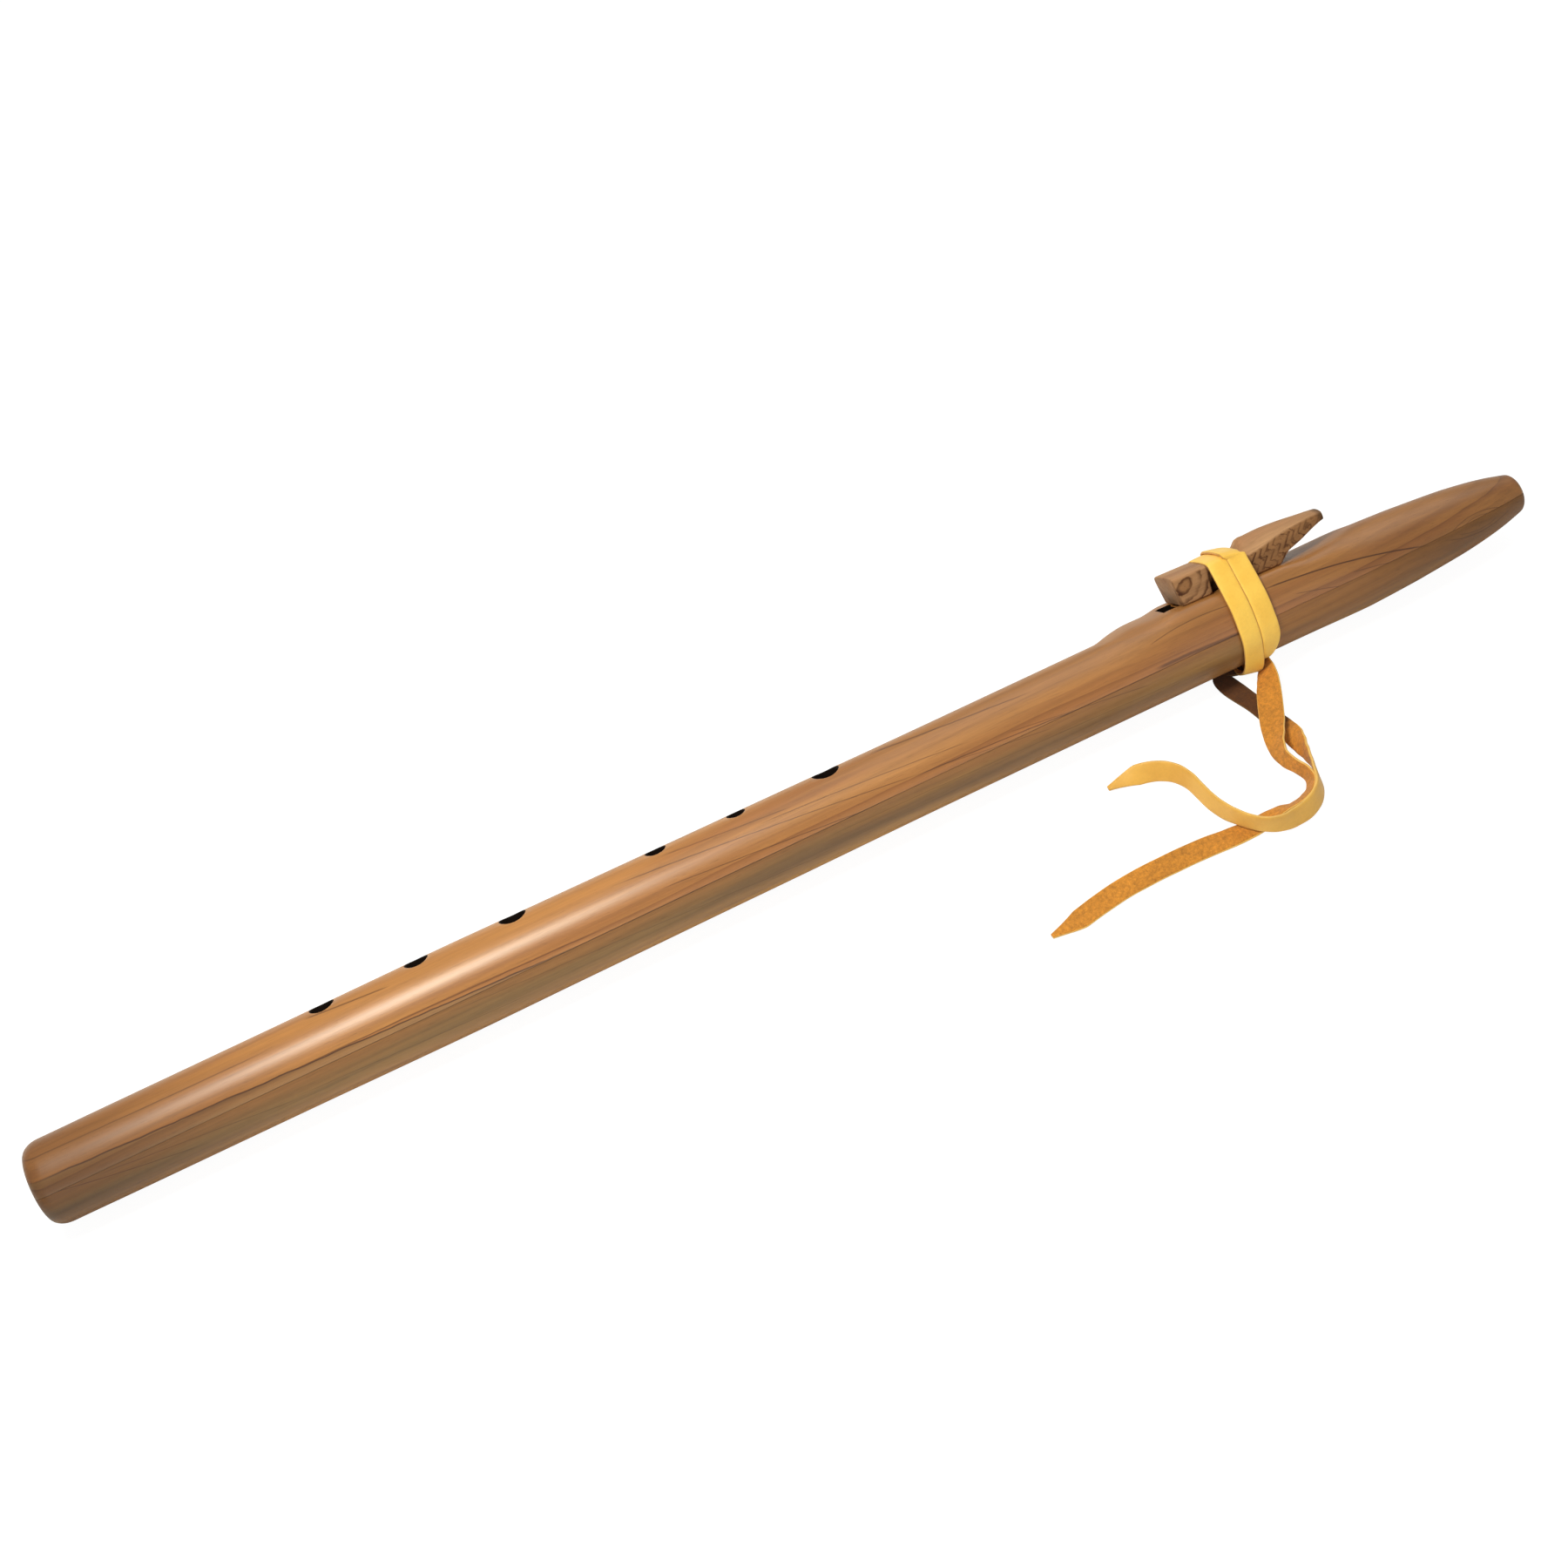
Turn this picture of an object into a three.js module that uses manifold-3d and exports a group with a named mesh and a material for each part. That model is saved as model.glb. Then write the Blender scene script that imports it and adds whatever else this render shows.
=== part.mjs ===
// A six-hole wooden flute of two glued half shells, with a carved block tied over its flue by a
// leather lace. Millimetres, +Z up. The flute is modelled lengthwise along X from its foot, with the
// block side up, and is then rolled back about its own axis and laid down on the lace and the barrel.
// The axis, lace route and block are all placed from the sizes below.
import * as THREE from 'three';
import { mergeVertices } from 'three/addons/utils/BufferGeometryUtils.js';
import Module from 'manifold-3d';

const wasm = await Module();
wasm.setup();

// Shared clearances
const FIT_GAP = 0.3; // between pieces that rest on or are glued to each other
const OVERRUN = 2; // how far a cutting solid passes the wood that it cuts

// Barrel
const BODY_LENGTH = 614.6;
const BODY_RADIUS = 16;
const AROUND = 48; // points round the barrel
const BORE_DIAMETER = 22.2;
const BORE_AROUND = 36;
const FOOT_ROUND_ALONG = 6.5;
const FOOT_ROUND_INWARD = 4;
const FOOT_ROUND_STEPS = 4;
// barrel outline: [share of the body length, share of the body radius]
const BARREL_SHARES = [
  [0.02, 1], [0.045, 1.006], [0.108, 1.012], [0.169, 1.019], [0.22, 1.031], [0.27, 1.0375],
  [0.325, 1.022], [0.374, 1.0125], [0.426, 1], [0.48, 0.992], [0.56, 0.973], [0.64, 0.971],
  [0.712, 0.972], [0.79, 0.976], [0.835, 0.985],
];

// Nose, from the mouth end
const NOSE_LENGTH = 74.8;
const NOSE_START_RADIUS = 16.15;
const TIP_RADIUS = 6.9;
const BREATH_HOLE_DIAMETER = 8;
const NOSE_WALL = 4.6;
// nose outline: [share of the nose length from the tip, share of the way from the tip's radius to the
// start's]
const NOSE_SHARES = [
  [0, 0], [0.014, 0.09], [0.036, 0.152], [0.075, 0.235], [0.115, 0.318], [0.154, 0.387], [0.193, 0.449],
  [0.231, 0.502], [0.309, 0.597], [0.386, 0.677], [0.463, 0.736], [0.54, 0.788], [0.618, 0.837],
  [0.694, 0.885], [0.77, 0.919], [0.848, 0.952], [0.924, 0.978], [1, 1],
];
// stations at which the breath passage is drawn inside the nose: shares of the nose length from the tip
const PASSAGE_SHARES = [1, 0.8, 0.62, 0.46, 0.32, 0.2, 0.12, 0.07];

// Nest, the planed seat of the block, and the air way cut in it
const NEST_RAMP_TO_MOUTH = 174.5; // from the start of the nest's ramp to the mouth end
const NEST_RAMP_LENGTH = 12.7;
const NEST_HEIGHT = 16.9; // above the axis, at the block's front
const NEST_FALL_SHARE = 0.0325; // drop per length towards the mouth
const NEST_CROWN = 19; // height that the squared section would reach unplaned
const NEST_SQUARE_POWER = 3;
const ROUND_POWER = 2;
const NEST_RUNOUT_TO_MOUTH = 101.5; // from where the nest starts to run out to the mouth end
const NEST_RUNOUT_LENGTH = 35;
const NEST_STATION_SHARES = [0.25, 0.5, 0.75];
const RUNOUT_STATION_SHARES = [0.2, 0.4, 0.6, 0.8];
const SOUND_HOLE_LENGTH = 9;
const SOUND_HOLE_WIDTH = 10;
const SPLITTING_EDGE_THICKNESS = 0.9;
const EDGE_UNDERCUT_LENGTH = 7.5;
const CHAMBER_WALL_LENGTH = 14; // solid wood between the two chambers
const CHAMBER_WALL_OFFSET = 1; // from the sound hole's end to the wall
const FLUE_WIDTH = 9;
const FLUE_DEPTH = 1;
const EXIT_HOLE_LENGTH = 6;
const EXIT_HOLE_OFFSET = 1; // from the chamber wall to the exit hole

// Finger holes: places as shares of the body length, diameters as shares of the nominal one
const FINGER_HOLE_DIAMETER = 8.4;
const FINGER_HOLE_AROUND = 24;
const FINGER_HOLE_PLACE_SHARES = [0.1884, 0.2488, 0.3109, 0.4045, 0.4579, 0.5182];
const FINGER_HOLE_DIAMETER_SHARES = [1.024, 0.988, 1.143, 0.869, 0.774, 1.167];

// Lace
const LACE_WIDTH = 8.05;
const LACE_THICKNESS = 1.3;
const LACE_CLEARANCE = 0.62; // under the flat steps of the winding, which dip between their corners
const TURN_GAP = 0.55;
const CROSSING_LIFT = 1.85;
const LOOP_STEPS = 24;
const SAMPLE_SHARES = [0, 0.25, 0.5, 0.75]; // of a step and a side, where the gaps are measured
const FLOOR_CUT = 0.5; // depth of the flat worn where the lace stands on the table
const FULL_TURN = 360;
const HALF_TURN = 180;
// six points of the winding's section and eight of the tails', as shares of the width and thickness
const WINDING_SECTION_SHARES = [
  [0.5, 0], [0.45, 0.5], [-0.45, 0.5], [-0.5, 0], [-0.45, -0.5], [0.45, -0.5],
];
const TAIL_SECTION_SHARES = [
  [0.5, 0.2], [0.46, 0.5], [-0.46, 0.5], [-0.5, 0.2], [-0.5, -0.2], [-0.46, -0.5], [0.46, -0.5],
  [0.5, -0.2],
];

// Block
const BLOCK_FRONT_TO_MOUTH = 147.5; // from the top edge of its front face to the mouth end
const BLOCK_LENGTH = 71;
const BLOCK_WIDTH = 18;
const BLOCK_HEIGHT = 14.8;
const BLOCK_FRONT_HEIGHT = 11.75;
const BLOCK_FRONT_SIDE_HEIGHT = 11.4;
const BLOCK_FRONT_LEAN = 1.3;
const SADDLE_START = 14.9;
const SADDLE_HEIGHT = 10.4;
const SADDLE_SIDE_HEIGHT = 10;
const SADDLE_WALL_LENGTH = 0.3;
const BLOCK_TOP_STEPS = 8;
// tail of the block behind the saddle: [along, underside, side's top, crest, half width], the first as a
// share of the tail's length, the heights as shares of the block's height, the last of its half width
const BLOCK_TAIL_SHARES = [
  [0.012, 0, 0.595, 0.77, 1], [0.075, 0, 0.615, 0.956, 1], [0.173, 0, 0.649, 0.98, 1],
  [0.354, 0, 0.743, 1, 0.967], [0.419, 0.297, 0.775, 0.995, 0.94], [0.496, 0.378, 0.804, 0.987, 0.911],
  [0.551, 0.426, 0.822, 0.98, 0.889], [0.651, 0.5, 0.845, 0.96, 0.833],
  [0.819, 0.608, 0.865, 0.919, 0.7], [0.9, 0.635, 0.851, 0.9, 0.62], [0.965, 0.655, 0.838, 0.885, 0.5],
  [1, 0.69, 0.81, 0.86, 0.36],
];

// Lie on the table: the block side is rolled back from the viewer
const ROLL_DEGREES = 36;

// Knot, placed by its angle from the block side round the near side of the barrel
const KNOT_ANGLE = 170;
const KNOT_LENGTH = 6.4; // round the barrel
const KNOT_BREADTH = 7.2; // along the barrel
const KNOT_THICKNESS = 3;
const KNOT_AROUND = 16;
const KNOT_RINGS = 10;
const KNOT_END_SHARE = 0.9; // of half the knot's length, at the height where the winding meets it
const CROSSING_FIRST_STEP = 1; // steps after the one over the table to the lifted crossing
const CROSSING_STEPS = 3;

// Free ends of the lace: [along from the knot, across from the axis, above the table, lean in degrees],
// where a positive lean lifts the edge on the left of the way it runs
const FRONT_TAIL_ROUTE = [
  [-2.4, -15.3, 5.1, 62], [-4.1, -18.1, 6.1, 56], [-6.3, -22, 6.3, 42], [-9, -27, 5.9, 28],
  [-12, -33, 4.9, 22], [-15.4, -39.5, 4.4, 30], [-18.7, -46, 4.2, 45], [-21.1, -52.5, 4.3, 62],
  [-22, -58.5, 4.4, 74], [-20.9, -64, 4.4, 80], [-19.8, -68.6, 4.4, 76], [-21.2, -72.5, 4.3, 68],
  [-25.3, -75.5, 4.2, 62], [-30.6, -77.2, 4, 58], [-36.1, -77.5, 2.9, 34], [-41.9, -77.5, 1.2, 8],
  [-48.4, -77.6, 0.8, 0], [-56.9, -77.4, 1.1, -8], [-66.9, -77.1, 1.9, -18], [-79.9, -76.8, 2.1, -21],
  [-92.9, -77, 2.1, -21], [-103.4, -77.8, 2, -19], [-113.3, -79.4, 1.7, -15], [-122.9, -81, 1.2, -10],
  [-132.9, -81.9, 0.9, -4],
];
const BACK_TAIL_ROUTE = [
  [-3.7, -12.8, 3.6, 34], [-6.8, -12.9, 2.5, 24], [-10.1, -13.1, 1.5, 10], [-13.1, -14, 1, 2],
  [-15.2, -16.4, 0.8, 0], [-16.1, -20, 0.8, 0], [-15.5, -28.5, 0.8, 0], [-13.5, -34.5, 0.8, 0],
  [-11, -40.5, 1.1, -6], [-9.6, -46.5, 2.7, -36], [-9.7, -52.5, 4.2, -76], [-11.5, -58.5, 4.4, -84],
  [-13.6, -64.3, 4.4, -80], [-15.5, -69.9, 4.3, -77], [-17.8, -75.9, 4.4, -73], [-22, -80.3, 4.3, -67],
  [-27.2, -82.8, 4.2, -64], [-32.9, -83.9, 4.4, -70], [-38.9, -84.2, 5.3, -82],
  [-44.4, -82.4, 6.2, -88], [-48.7, -78.2, 6.4, -88], [-51.6, -73, 5.9, -84], [-53.6, -67, 4.7, -78],
  [-54.9, -61, 4.3, -75], [-55.6, -54.8, 4.3, -75], [-56.3, -48.5, 4.3, -72], [-58.7, -42.6, 4.2, -66],
  [-63.3, -37.8, 3.8, -56], [-69.3, -34.9, 3, -40], [-75.9, -33.6, 1.9, -20], [-82.4, -33.2, 1.1, -6],
];
const TAIL_STEPS_PER_POINT = 2;
const TAIL_POINT_LENGTH = 13; // over which the tail's end is cut to a slant
const TAIL_POINT_SHARE = 0.12; // width left at the very end
const TAIL_GATHER_LENGTH = 10; // over which the lace opens out from the knot
const TAIL_GATHER_SHARE = 0.45; // width at the knot

// Colours, roughness and metalness of the finishes
const UPPER_CEDAR = { color: 0xb9804a, roughness: 0.5, metalness: 0 };
const LOWER_CEDAR = { color: 0x94724c, roughness: 0.55, metalness: 0 };
const BLOCK_CEDAR = { color: 0xa87550, roughness: 0.65, metalness: 0 };
const YELLOW_LEATHER = { color: 0xf3bb3c, roughness: 0.7, metalness: 0 };
const SUEDE_LEATHER = { color: 0xd98a26, roughness: 0.95, metalness: 0 };

// Values worked out from the sizes above
const roll = THREE.MathUtils.degToRad(ROLL_DEGREES);
const boreRadius = BORE_DIAMETER / 2;
const noseStart = BODY_LENGTH - NOSE_LENGTH;
const rampStart = BODY_LENGTH - NEST_RAMP_TO_MOUTH;
const rampEnd = rampStart + NEST_RAMP_LENGTH;
const runoutStart = BODY_LENGTH - NEST_RUNOUT_TO_MOUTH;
const runoutEnd = runoutStart + NEST_RUNOUT_LENGTH;
const blockFront = BODY_LENGTH - BLOCK_FRONT_TO_MOUTH;
const soundHoleEnd = blockFront + BLOCK_FRONT_LEAN;
const soundHoleStart = soundHoleEnd - SOUND_HOLE_LENGTH;
const chamberWallStart = soundHoleEnd + CHAMBER_WALL_OFFSET;
const slowChamberStart = chamberWallStart + CHAMBER_WALL_LENGTH;
const exitHoleStart = slowChamberStart + EXIT_HOLE_OFFSET;
const exitHoleEnd = exitHoleStart + EXIT_HOLE_LENGTH;
const firstTurnX = blockFront + SADDLE_START + FIT_GAP + LACE_WIDTH / 2;
const secondTurnX = firstTurnX + LACE_WIDTH + TURN_GAP;
const windingMiddle = (firstTurnX + secondTurnX) / 2;
const saddleEnd = SADDLE_START + 2 * LACE_WIDTH + TURN_GAP + 2 * FIT_GAP;
const axisHeight = barrelRadius(windingMiddle) + LACE_CLEARANCE + LACE_THICKNESS - FLOOR_CUT;
const floorAngle = HALF_TURN + ROLL_DEGREES;

// Interpolates a table of [place, value] rows with a smooth curve through its points
function smoothTable(rows, at) {
  const places = rows.map((row) => row[0]);
  const values = rows.map((row) => row[1]);
  return new THREE.CubicInterpolant(places, values, 1).evaluate(at)[0];
}

// Outer radius of the round barrel and nose
function barrelRadius(x) {
  if (x >= noseStart) {
    const share = smoothTable(NOSE_SHARES, (BODY_LENGTH - x) / NOSE_LENGTH);
    return TIP_RADIUS + share * (NOSE_START_RADIUS - TIP_RADIUS);
  }
  const rows = [[0, 1], ...BARREL_SHARES, [noseStart / BODY_LENGTH, NOSE_START_RADIUS / BODY_RADIUS]];
  const radius = BODY_RADIUS * smoothTable(rows, x / BODY_LENGTH);
  if (x >= FOOT_ROUND_ALONG) return radius;
  const along = 1 - x / FOOT_ROUND_ALONG;
  return radius - FOOT_ROUND_INWARD * (1 - Math.sqrt(1 - along * along));
}

// How far the section has become the squared one of the nest, from 0 to 1
function nestShare(x) {
  const rise = THREE.MathUtils.smoothstep(x, rampStart, rampEnd);
  return rise * (1 - THREE.MathUtils.smoothstep(x, runoutStart, runoutEnd));
}

// Height of the planed nest above the axis
function nestPlane(x) {
  return NEST_HEIGHT - NEST_FALL_SHARE * (x - blockFront);
}

// One point of the barrel's outline, at an angle from the block side
function barrelPoint(x, angle) {
  const radius = barrelRadius(x);
  const share = angle > Math.PI / 2 && angle < Math.PI * 1.5 ? 0 : nestShare(x);
  const power = ROUND_POWER + share * (NEST_SQUARE_POWER - ROUND_POWER);
  const crown = radius + share * (NEST_CROWN - radius);
  const planed = radius + share * (nestPlane(x) - radius);
  const sine = -Math.sin(angle);
  const cosine = Math.cos(angle);
  const y = radius * Math.sign(sine) * Math.abs(sine) ** (2 / power);
  const z = crown * Math.sign(cosine) * Math.abs(cosine) ** (2 / power);
  return new THREE.Vector3(x, y, Math.min(z, Math.max(planed, -radius)));
}

// Places along the barrel at which its outline is drawn
function barrelStations() {
  const between = (start, length, shares) => shares.map((share) => start + length * share);
  const foot = [];
  for (let step = 0; step <= FOOT_ROUND_STEPS; step += 1) {
    foot.push(FOOT_ROUND_ALONG * (1 - Math.cos((step / FOOT_ROUND_STEPS) * (Math.PI / 2))));
  }
  const barrel = BARREL_SHARES.map((row) => row[0] * BODY_LENGTH).filter((x) => x < rampStart);
  const nest = [
    rampStart, ...between(rampStart, NEST_RAMP_LENGTH, NEST_STATION_SHARES), rampEnd,
    ...between(rampEnd, runoutStart - rampEnd, NEST_STATION_SHARES), runoutStart,
    ...between(runoutStart, NEST_RUNOUT_LENGTH, RUNOUT_STATION_SHARES), runoutEnd,
  ];
  const nose = NOSE_SHARES.map((row) => BODY_LENGTH - row[0] * NOSE_LENGTH).filter((x) => x > runoutEnd);
  return [...foot, ...barrel, ...nest, ...nose.reverse()];
}

// Closed solid drawn through rings of points that have equal counts, with flat ends
function loft(rings) {
  const count = rings[0].length;
  const points = rings.flat();
  const faces = [];
  for (let ring = 0; ring + 1 < rings.length; ring += 1) {
    for (let side = 0; side < count; side += 1) {
      const a = ring * count + side;
      const b = ring * count + ((side + 1) % count);
      faces.push(a, b, a + count, b, b + count, a + count);
    }
  }
  const last = (rings.length - 1) * count;
  const ends = THREE.ShapeUtils.triangulateShape(flatten(rings[0]), []);
  const lastEnds = THREE.ShapeUtils.triangulateShape(flatten(rings.at(-1)), []);
  ends.forEach(([a, b, c]) => faces.push(a, c, b));
  lastEnds.forEach(([a, b, c]) => faces.push(last + a, last + b, last + c));
  return facing(meshOf(points, faces));
}

// The points of a flat ring in its own plane
function flatten(ring) {
  const centre = new THREE.Vector3();
  ring.forEach((point) => centre.add(point));
  centre.divideScalar(ring.length);
  const across = ring[0].clone().sub(centre).normalize();
  const normal = new THREE.Vector3();
  ring.forEach((point, index) => {
    const next = ring[(index + 1) % ring.length];
    normal.add(point.clone().sub(centre).cross(next.clone().sub(centre)));
  });
  normal.normalize();
  const up = normal.clone().cross(across);
  return ring.map((point) => {
    const offset = point.clone().sub(centre);
    return new THREE.Vector2(offset.dot(across), offset.dot(up));
  });
}

// Mesh geometry from points and the indices of its faces
function meshOf(points, faces) {
  const geometry = new THREE.BufferGeometry().setFromPoints(points);
  geometry.setIndex(faces);
  return geometry;
}

// Turns every face over if the closed surface faces inwards
function facing(geometry) {
  const points = geometry.getAttribute('position');
  const index = geometry.getIndex();
  const corner = [0, 1, 2].map(() => new THREE.Vector3());
  let volume = 0;
  for (let face = 0; face < index.count; face += 3) {
    corner.forEach((vector, k) => vector.fromBufferAttribute(points, index.getX(face + k)));
    volume += corner[0].dot(corner[1].cross(corner[2]));
  }
  if (volume > 0) return geometry;
  const turned = [];
  for (let face = 0; face < index.count; face += 3) {
    turned.push(index.getX(face), index.getX(face + 2), index.getX(face + 1));
  }
  geometry.setIndex(turned);
  return geometry;
}

// Solid for cutting and joining, with the shared vertices merged
function solid(source) {
  const geometry = source.clone();
  geometry.deleteAttribute('normal');
  geometry.deleteAttribute('uv');
  const merged = mergeVertices(geometry);
  const vertProperties = new Float32Array(merged.getAttribute('position').array);
  const triVerts = new Uint32Array(merged.getIndex().array);
  return new wasm.Manifold(new wasm.Mesh({ numProp: 3, vertProperties, triVerts }));
}

// Geometry of a cut solid
function geometryOf(manifold) {
  const mesh = manifold.getMesh();
  const geometry = new THREE.BufferGeometry();
  geometry.setAttribute('position', new THREE.BufferAttribute(new Float32Array(mesh.vertProperties), 3));
  geometry.setIndex(new THREE.BufferAttribute(new Uint32Array(mesh.triVerts), 1));
  geometry.computeVertexNormals();
  return geometry;
}

// Box between two corners
function boxBetween(x0, x1, y0, y1, z0, z1) {
  const box = new THREE.BoxGeometry(x1 - x0, y1 - y0, z1 - z0);
  return box.translate((x0 + x1) / 2, (y0 + y1) / 2, (z0 + z1) / 2);
}

// Turned cavity along the axis from [place, radius] rows
function turned(rows) {
  const profile = [[rows[0][0], 0], ...rows, [rows.at(-1)[0], 0]];
  const points = profile.map(([along, radius]) => new THREE.Vector2(radius, along));
  return new THREE.LatheGeometry(points, BORE_AROUND).rotateZ(-Math.PI / 2);
}

function soundChamber() {
  return turned([[-OVERRUN, boreRadius], [chamberWallStart, boreRadius]]);
}

// The chamber that the player blows into, which narrows inside the nose to the breath hole
function slowChamber() {
  const breathRadius = BREATH_HOLE_DIAMETER / 2;
  const rows = [[slowChamberStart, boreRadius]];
  PASSAGE_SHARES.forEach((share) => {
    const x = BODY_LENGTH - share * NOSE_LENGTH;
    const inside = Math.min(boreRadius, barrelRadius(x) - NOSE_WALL);
    rows.push([x, Math.max(breathRadius, inside)]);
  });
  rows.push([BODY_LENGTH + OVERRUN, breathRadius]);
  return turned(rows);
}

function fingerHole(index) {
  const radius = (FINGER_HOLE_DIAMETER * FINGER_HOLE_DIAMETER_SHARES[index]) / 2;
  const x = BODY_LENGTH * FINGER_HOLE_PLACE_SHARES[index];
  const top = barrelRadius(x) + OVERRUN;
  const drill = new THREE.CylinderGeometry(radius, radius, top, FINGER_HOLE_AROUND);
  return drill.rotateX(Math.PI / 2).translate(x, 0, top / 2);
}

function soundHole() {
  const half = SOUND_HOLE_WIDTH / 2;
  return boxBetween(soundHoleStart, soundHoleEnd, -half, half, 0, NEST_CROWN + OVERRUN);
}

// Wedge under the splitting edge, which leaves the edge thin at the sound hole
function edgeUndercut() {
  const edgeBottom = nestPlane(soundHoleStart) - SPLITTING_EDGE_THICKNESS;
  const outline = new THREE.Shape();
  outline.moveTo(soundHoleStart - EDGE_UNDERCUT_LENGTH, 0);
  outline.lineTo(soundHoleStart + OVERRUN, 0);
  outline.lineTo(soundHoleStart + OVERRUN, edgeBottom);
  outline.lineTo(soundHoleStart, edgeBottom);
  outline.lineTo(soundHoleStart - EDGE_UNDERCUT_LENGTH, boreRadius - OVERRUN);
  outline.closePath();
  const wedge = new THREE.ExtrudeGeometry(outline, { depth: SOUND_HOLE_WIDTH, bevelEnabled: false });
  return wedge.rotateX(Math.PI / 2).translate(0, SOUND_HOLE_WIDTH / 2, 0);
}

// Shallow channel in the nest, from the exit hole to the sound hole
function flue() {
  const half = FLUE_WIDTH / 2;
  const rings = [soundHoleEnd - OVERRUN, exitHoleEnd].map((x) => {
    const floor = nestPlane(x) - FLUE_DEPTH;
    const roof = NEST_CROWN + OVERRUN;
    const corners = [[-half, floor], [half, floor], [half, roof], [-half, roof]];
    return corners.map(([y, z]) => new THREE.Vector3(x, y, z));
  });
  return loft(rings);
}

function exitHole() {
  const half = FLUE_WIDTH / 2;
  return boxBetween(exitHoleStart, exitHoleEnd, -half, half, 0, NEST_CROWN + OVERRUN);
}

// The whole hollow barrel before it is parted
function barrel() {
  const rings = barrelStations().map((x) => {
    const ring = [];
    for (let step = 0; step < AROUND; step += 1) {
      ring.push(barrelPoint(x, (step / AROUND) * 2 * Math.PI));
    }
    return ring;
  });
  let wood = solid(loft(rings));
  const cuts = [soundChamber(), slowChamber(), soundHole(), edgeUndercut(), flue(), exitHole()];
  FINGER_HOLE_PLACE_SHARES.forEach((share, index) => cuts.push(fingerHole(index)));
  cuts.forEach((cut) => {
    wood = wood.subtract(solid(cut));
  });
  return wood;
}

// One half shell of the barrel, on the side given by the sign
function halfShell(wood, side) {
  const reach = NEST_CROWN + OVERRUN;
  const heights = [(side * FIT_GAP) / 2, side * reach].sort((a, b) => a - b);
  const keep = boxBetween(-OVERRUN, BODY_LENGTH + OVERRUN, -reach, reach, heights[0], heights[1]);
  return geometryOf(wood.intersect(solid(keep)));
}

// Half of the block's section, from the underside up and over the crest
function blockRing(x, underside, side, crest, halfWidth) {
  const seat = nestPlane(x) + FIT_GAP;
  const ring = [new THREE.Vector3(x, -halfWidth, seat + underside)];
  for (let step = 0; step <= BLOCK_TOP_STEPS; step += 1) {
    const across = (2 * step) / BLOCK_TOP_STEPS - 1;
    ring.push(new THREE.Vector3(x, halfWidth * across, seat + crest - (crest - side) * across * across));
  }
  ring.push(new THREE.Vector3(x, halfWidth, seat + underside));
  return ring;
}

function blockRings() {
  const half = BLOCK_WIDTH / 2;
  const tailLength = BLOCK_LENGTH - saddleEnd;
  const front = blockRing(blockFront, 0, BLOCK_FRONT_SIDE_HEIGHT, BLOCK_FRONT_HEIGHT, half);
  const seat = nestPlane(blockFront) + FIT_GAP;
  front.forEach((point) => {
    point.x += BLOCK_FRONT_LEAN * Math.max(0, 1 - (point.z - seat) / BLOCK_FRONT_SIDE_HEIGHT);
  });
  const at = (along, side, crest) => blockRing(blockFront + along, 0, side, crest, half);
  const tail = BLOCK_TAIL_SHARES.map(([along, underside, side, crest, width]) => blockRing(
    blockFront + saddleEnd + SADDLE_WALL_LENGTH + along * (tailLength - SADDLE_WALL_LENGTH),
    BLOCK_HEIGHT * underside, BLOCK_HEIGHT * side, BLOCK_HEIGHT * crest, half * width,
  ));
  return [
    front,
    at(SADDLE_START - SADDLE_WALL_LENGTH, BLOCK_FRONT_SIDE_HEIGHT, BLOCK_FRONT_HEIGHT),
    at(SADDLE_START, SADDLE_SIDE_HEIGHT, SADDLE_HEIGHT),
    at(saddleEnd, SADDLE_SIDE_HEIGHT, SADDLE_HEIGHT),
    ...tail,
  ];
}

// Direction across the barrel at an angle from the block side, round by the near side
function outward(degrees) {
  const angle = THREE.MathUtils.degToRad(degrees);
  return new THREE.Vector3(0, -Math.sin(angle), Math.cos(angle));
}

// The point of the barrel and saddle that reaches furthest in a direction, where the taut lace lies
function furthest(degrees, x) {
  const points = blockRing(x, 0, SADDLE_SIDE_HEIGHT, SADDLE_HEIGHT, BLOCK_WIDTH / 2);
  for (let step = 0; step < AROUND; step += 1) {
    points.push(barrelPoint(x, (step / AROUND) * 2 * Math.PI));
  }
  const round = outward(degrees).multiplyScalar(barrelRadius(x));
  const nestSide = Math.cos(THREE.MathUtils.degToRad(degrees)) > 0;
  if (!nestSide) return round;
  const direction = outward(degrees);
  return points.reduce((best, point) => (point.dot(direction) > best.dot(direction) ? point : best));
}

// Angles at which the winding is drawn, with one flat step facing the table in each turn
function windingAngles() {
  const step = FULL_TURN / LOOP_STEPS;
  const radius = barrelRadius(windingMiddle) + LACE_CLEARANCE + LACE_THICKNESS / 2;
  const reach = THREE.MathUtils.radToDeg(((KNOT_LENGTH / 2) * KNOT_END_SHARE + FIT_GAP) / radius);
  const first = KNOT_ANGLE + reach;
  const last = KNOT_ANGLE - reach + 2 * FULL_TURN;
  const angles = [];
  for (let angle = floorAngle - step / 2 - HALF_TURN; angle < last; angle += step) {
    const clear = Math.min(angle - first, last - angle);
    if (clear > step / 2) angles.push(angle);
  }
  return [first, ...angles, last];
}

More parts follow.
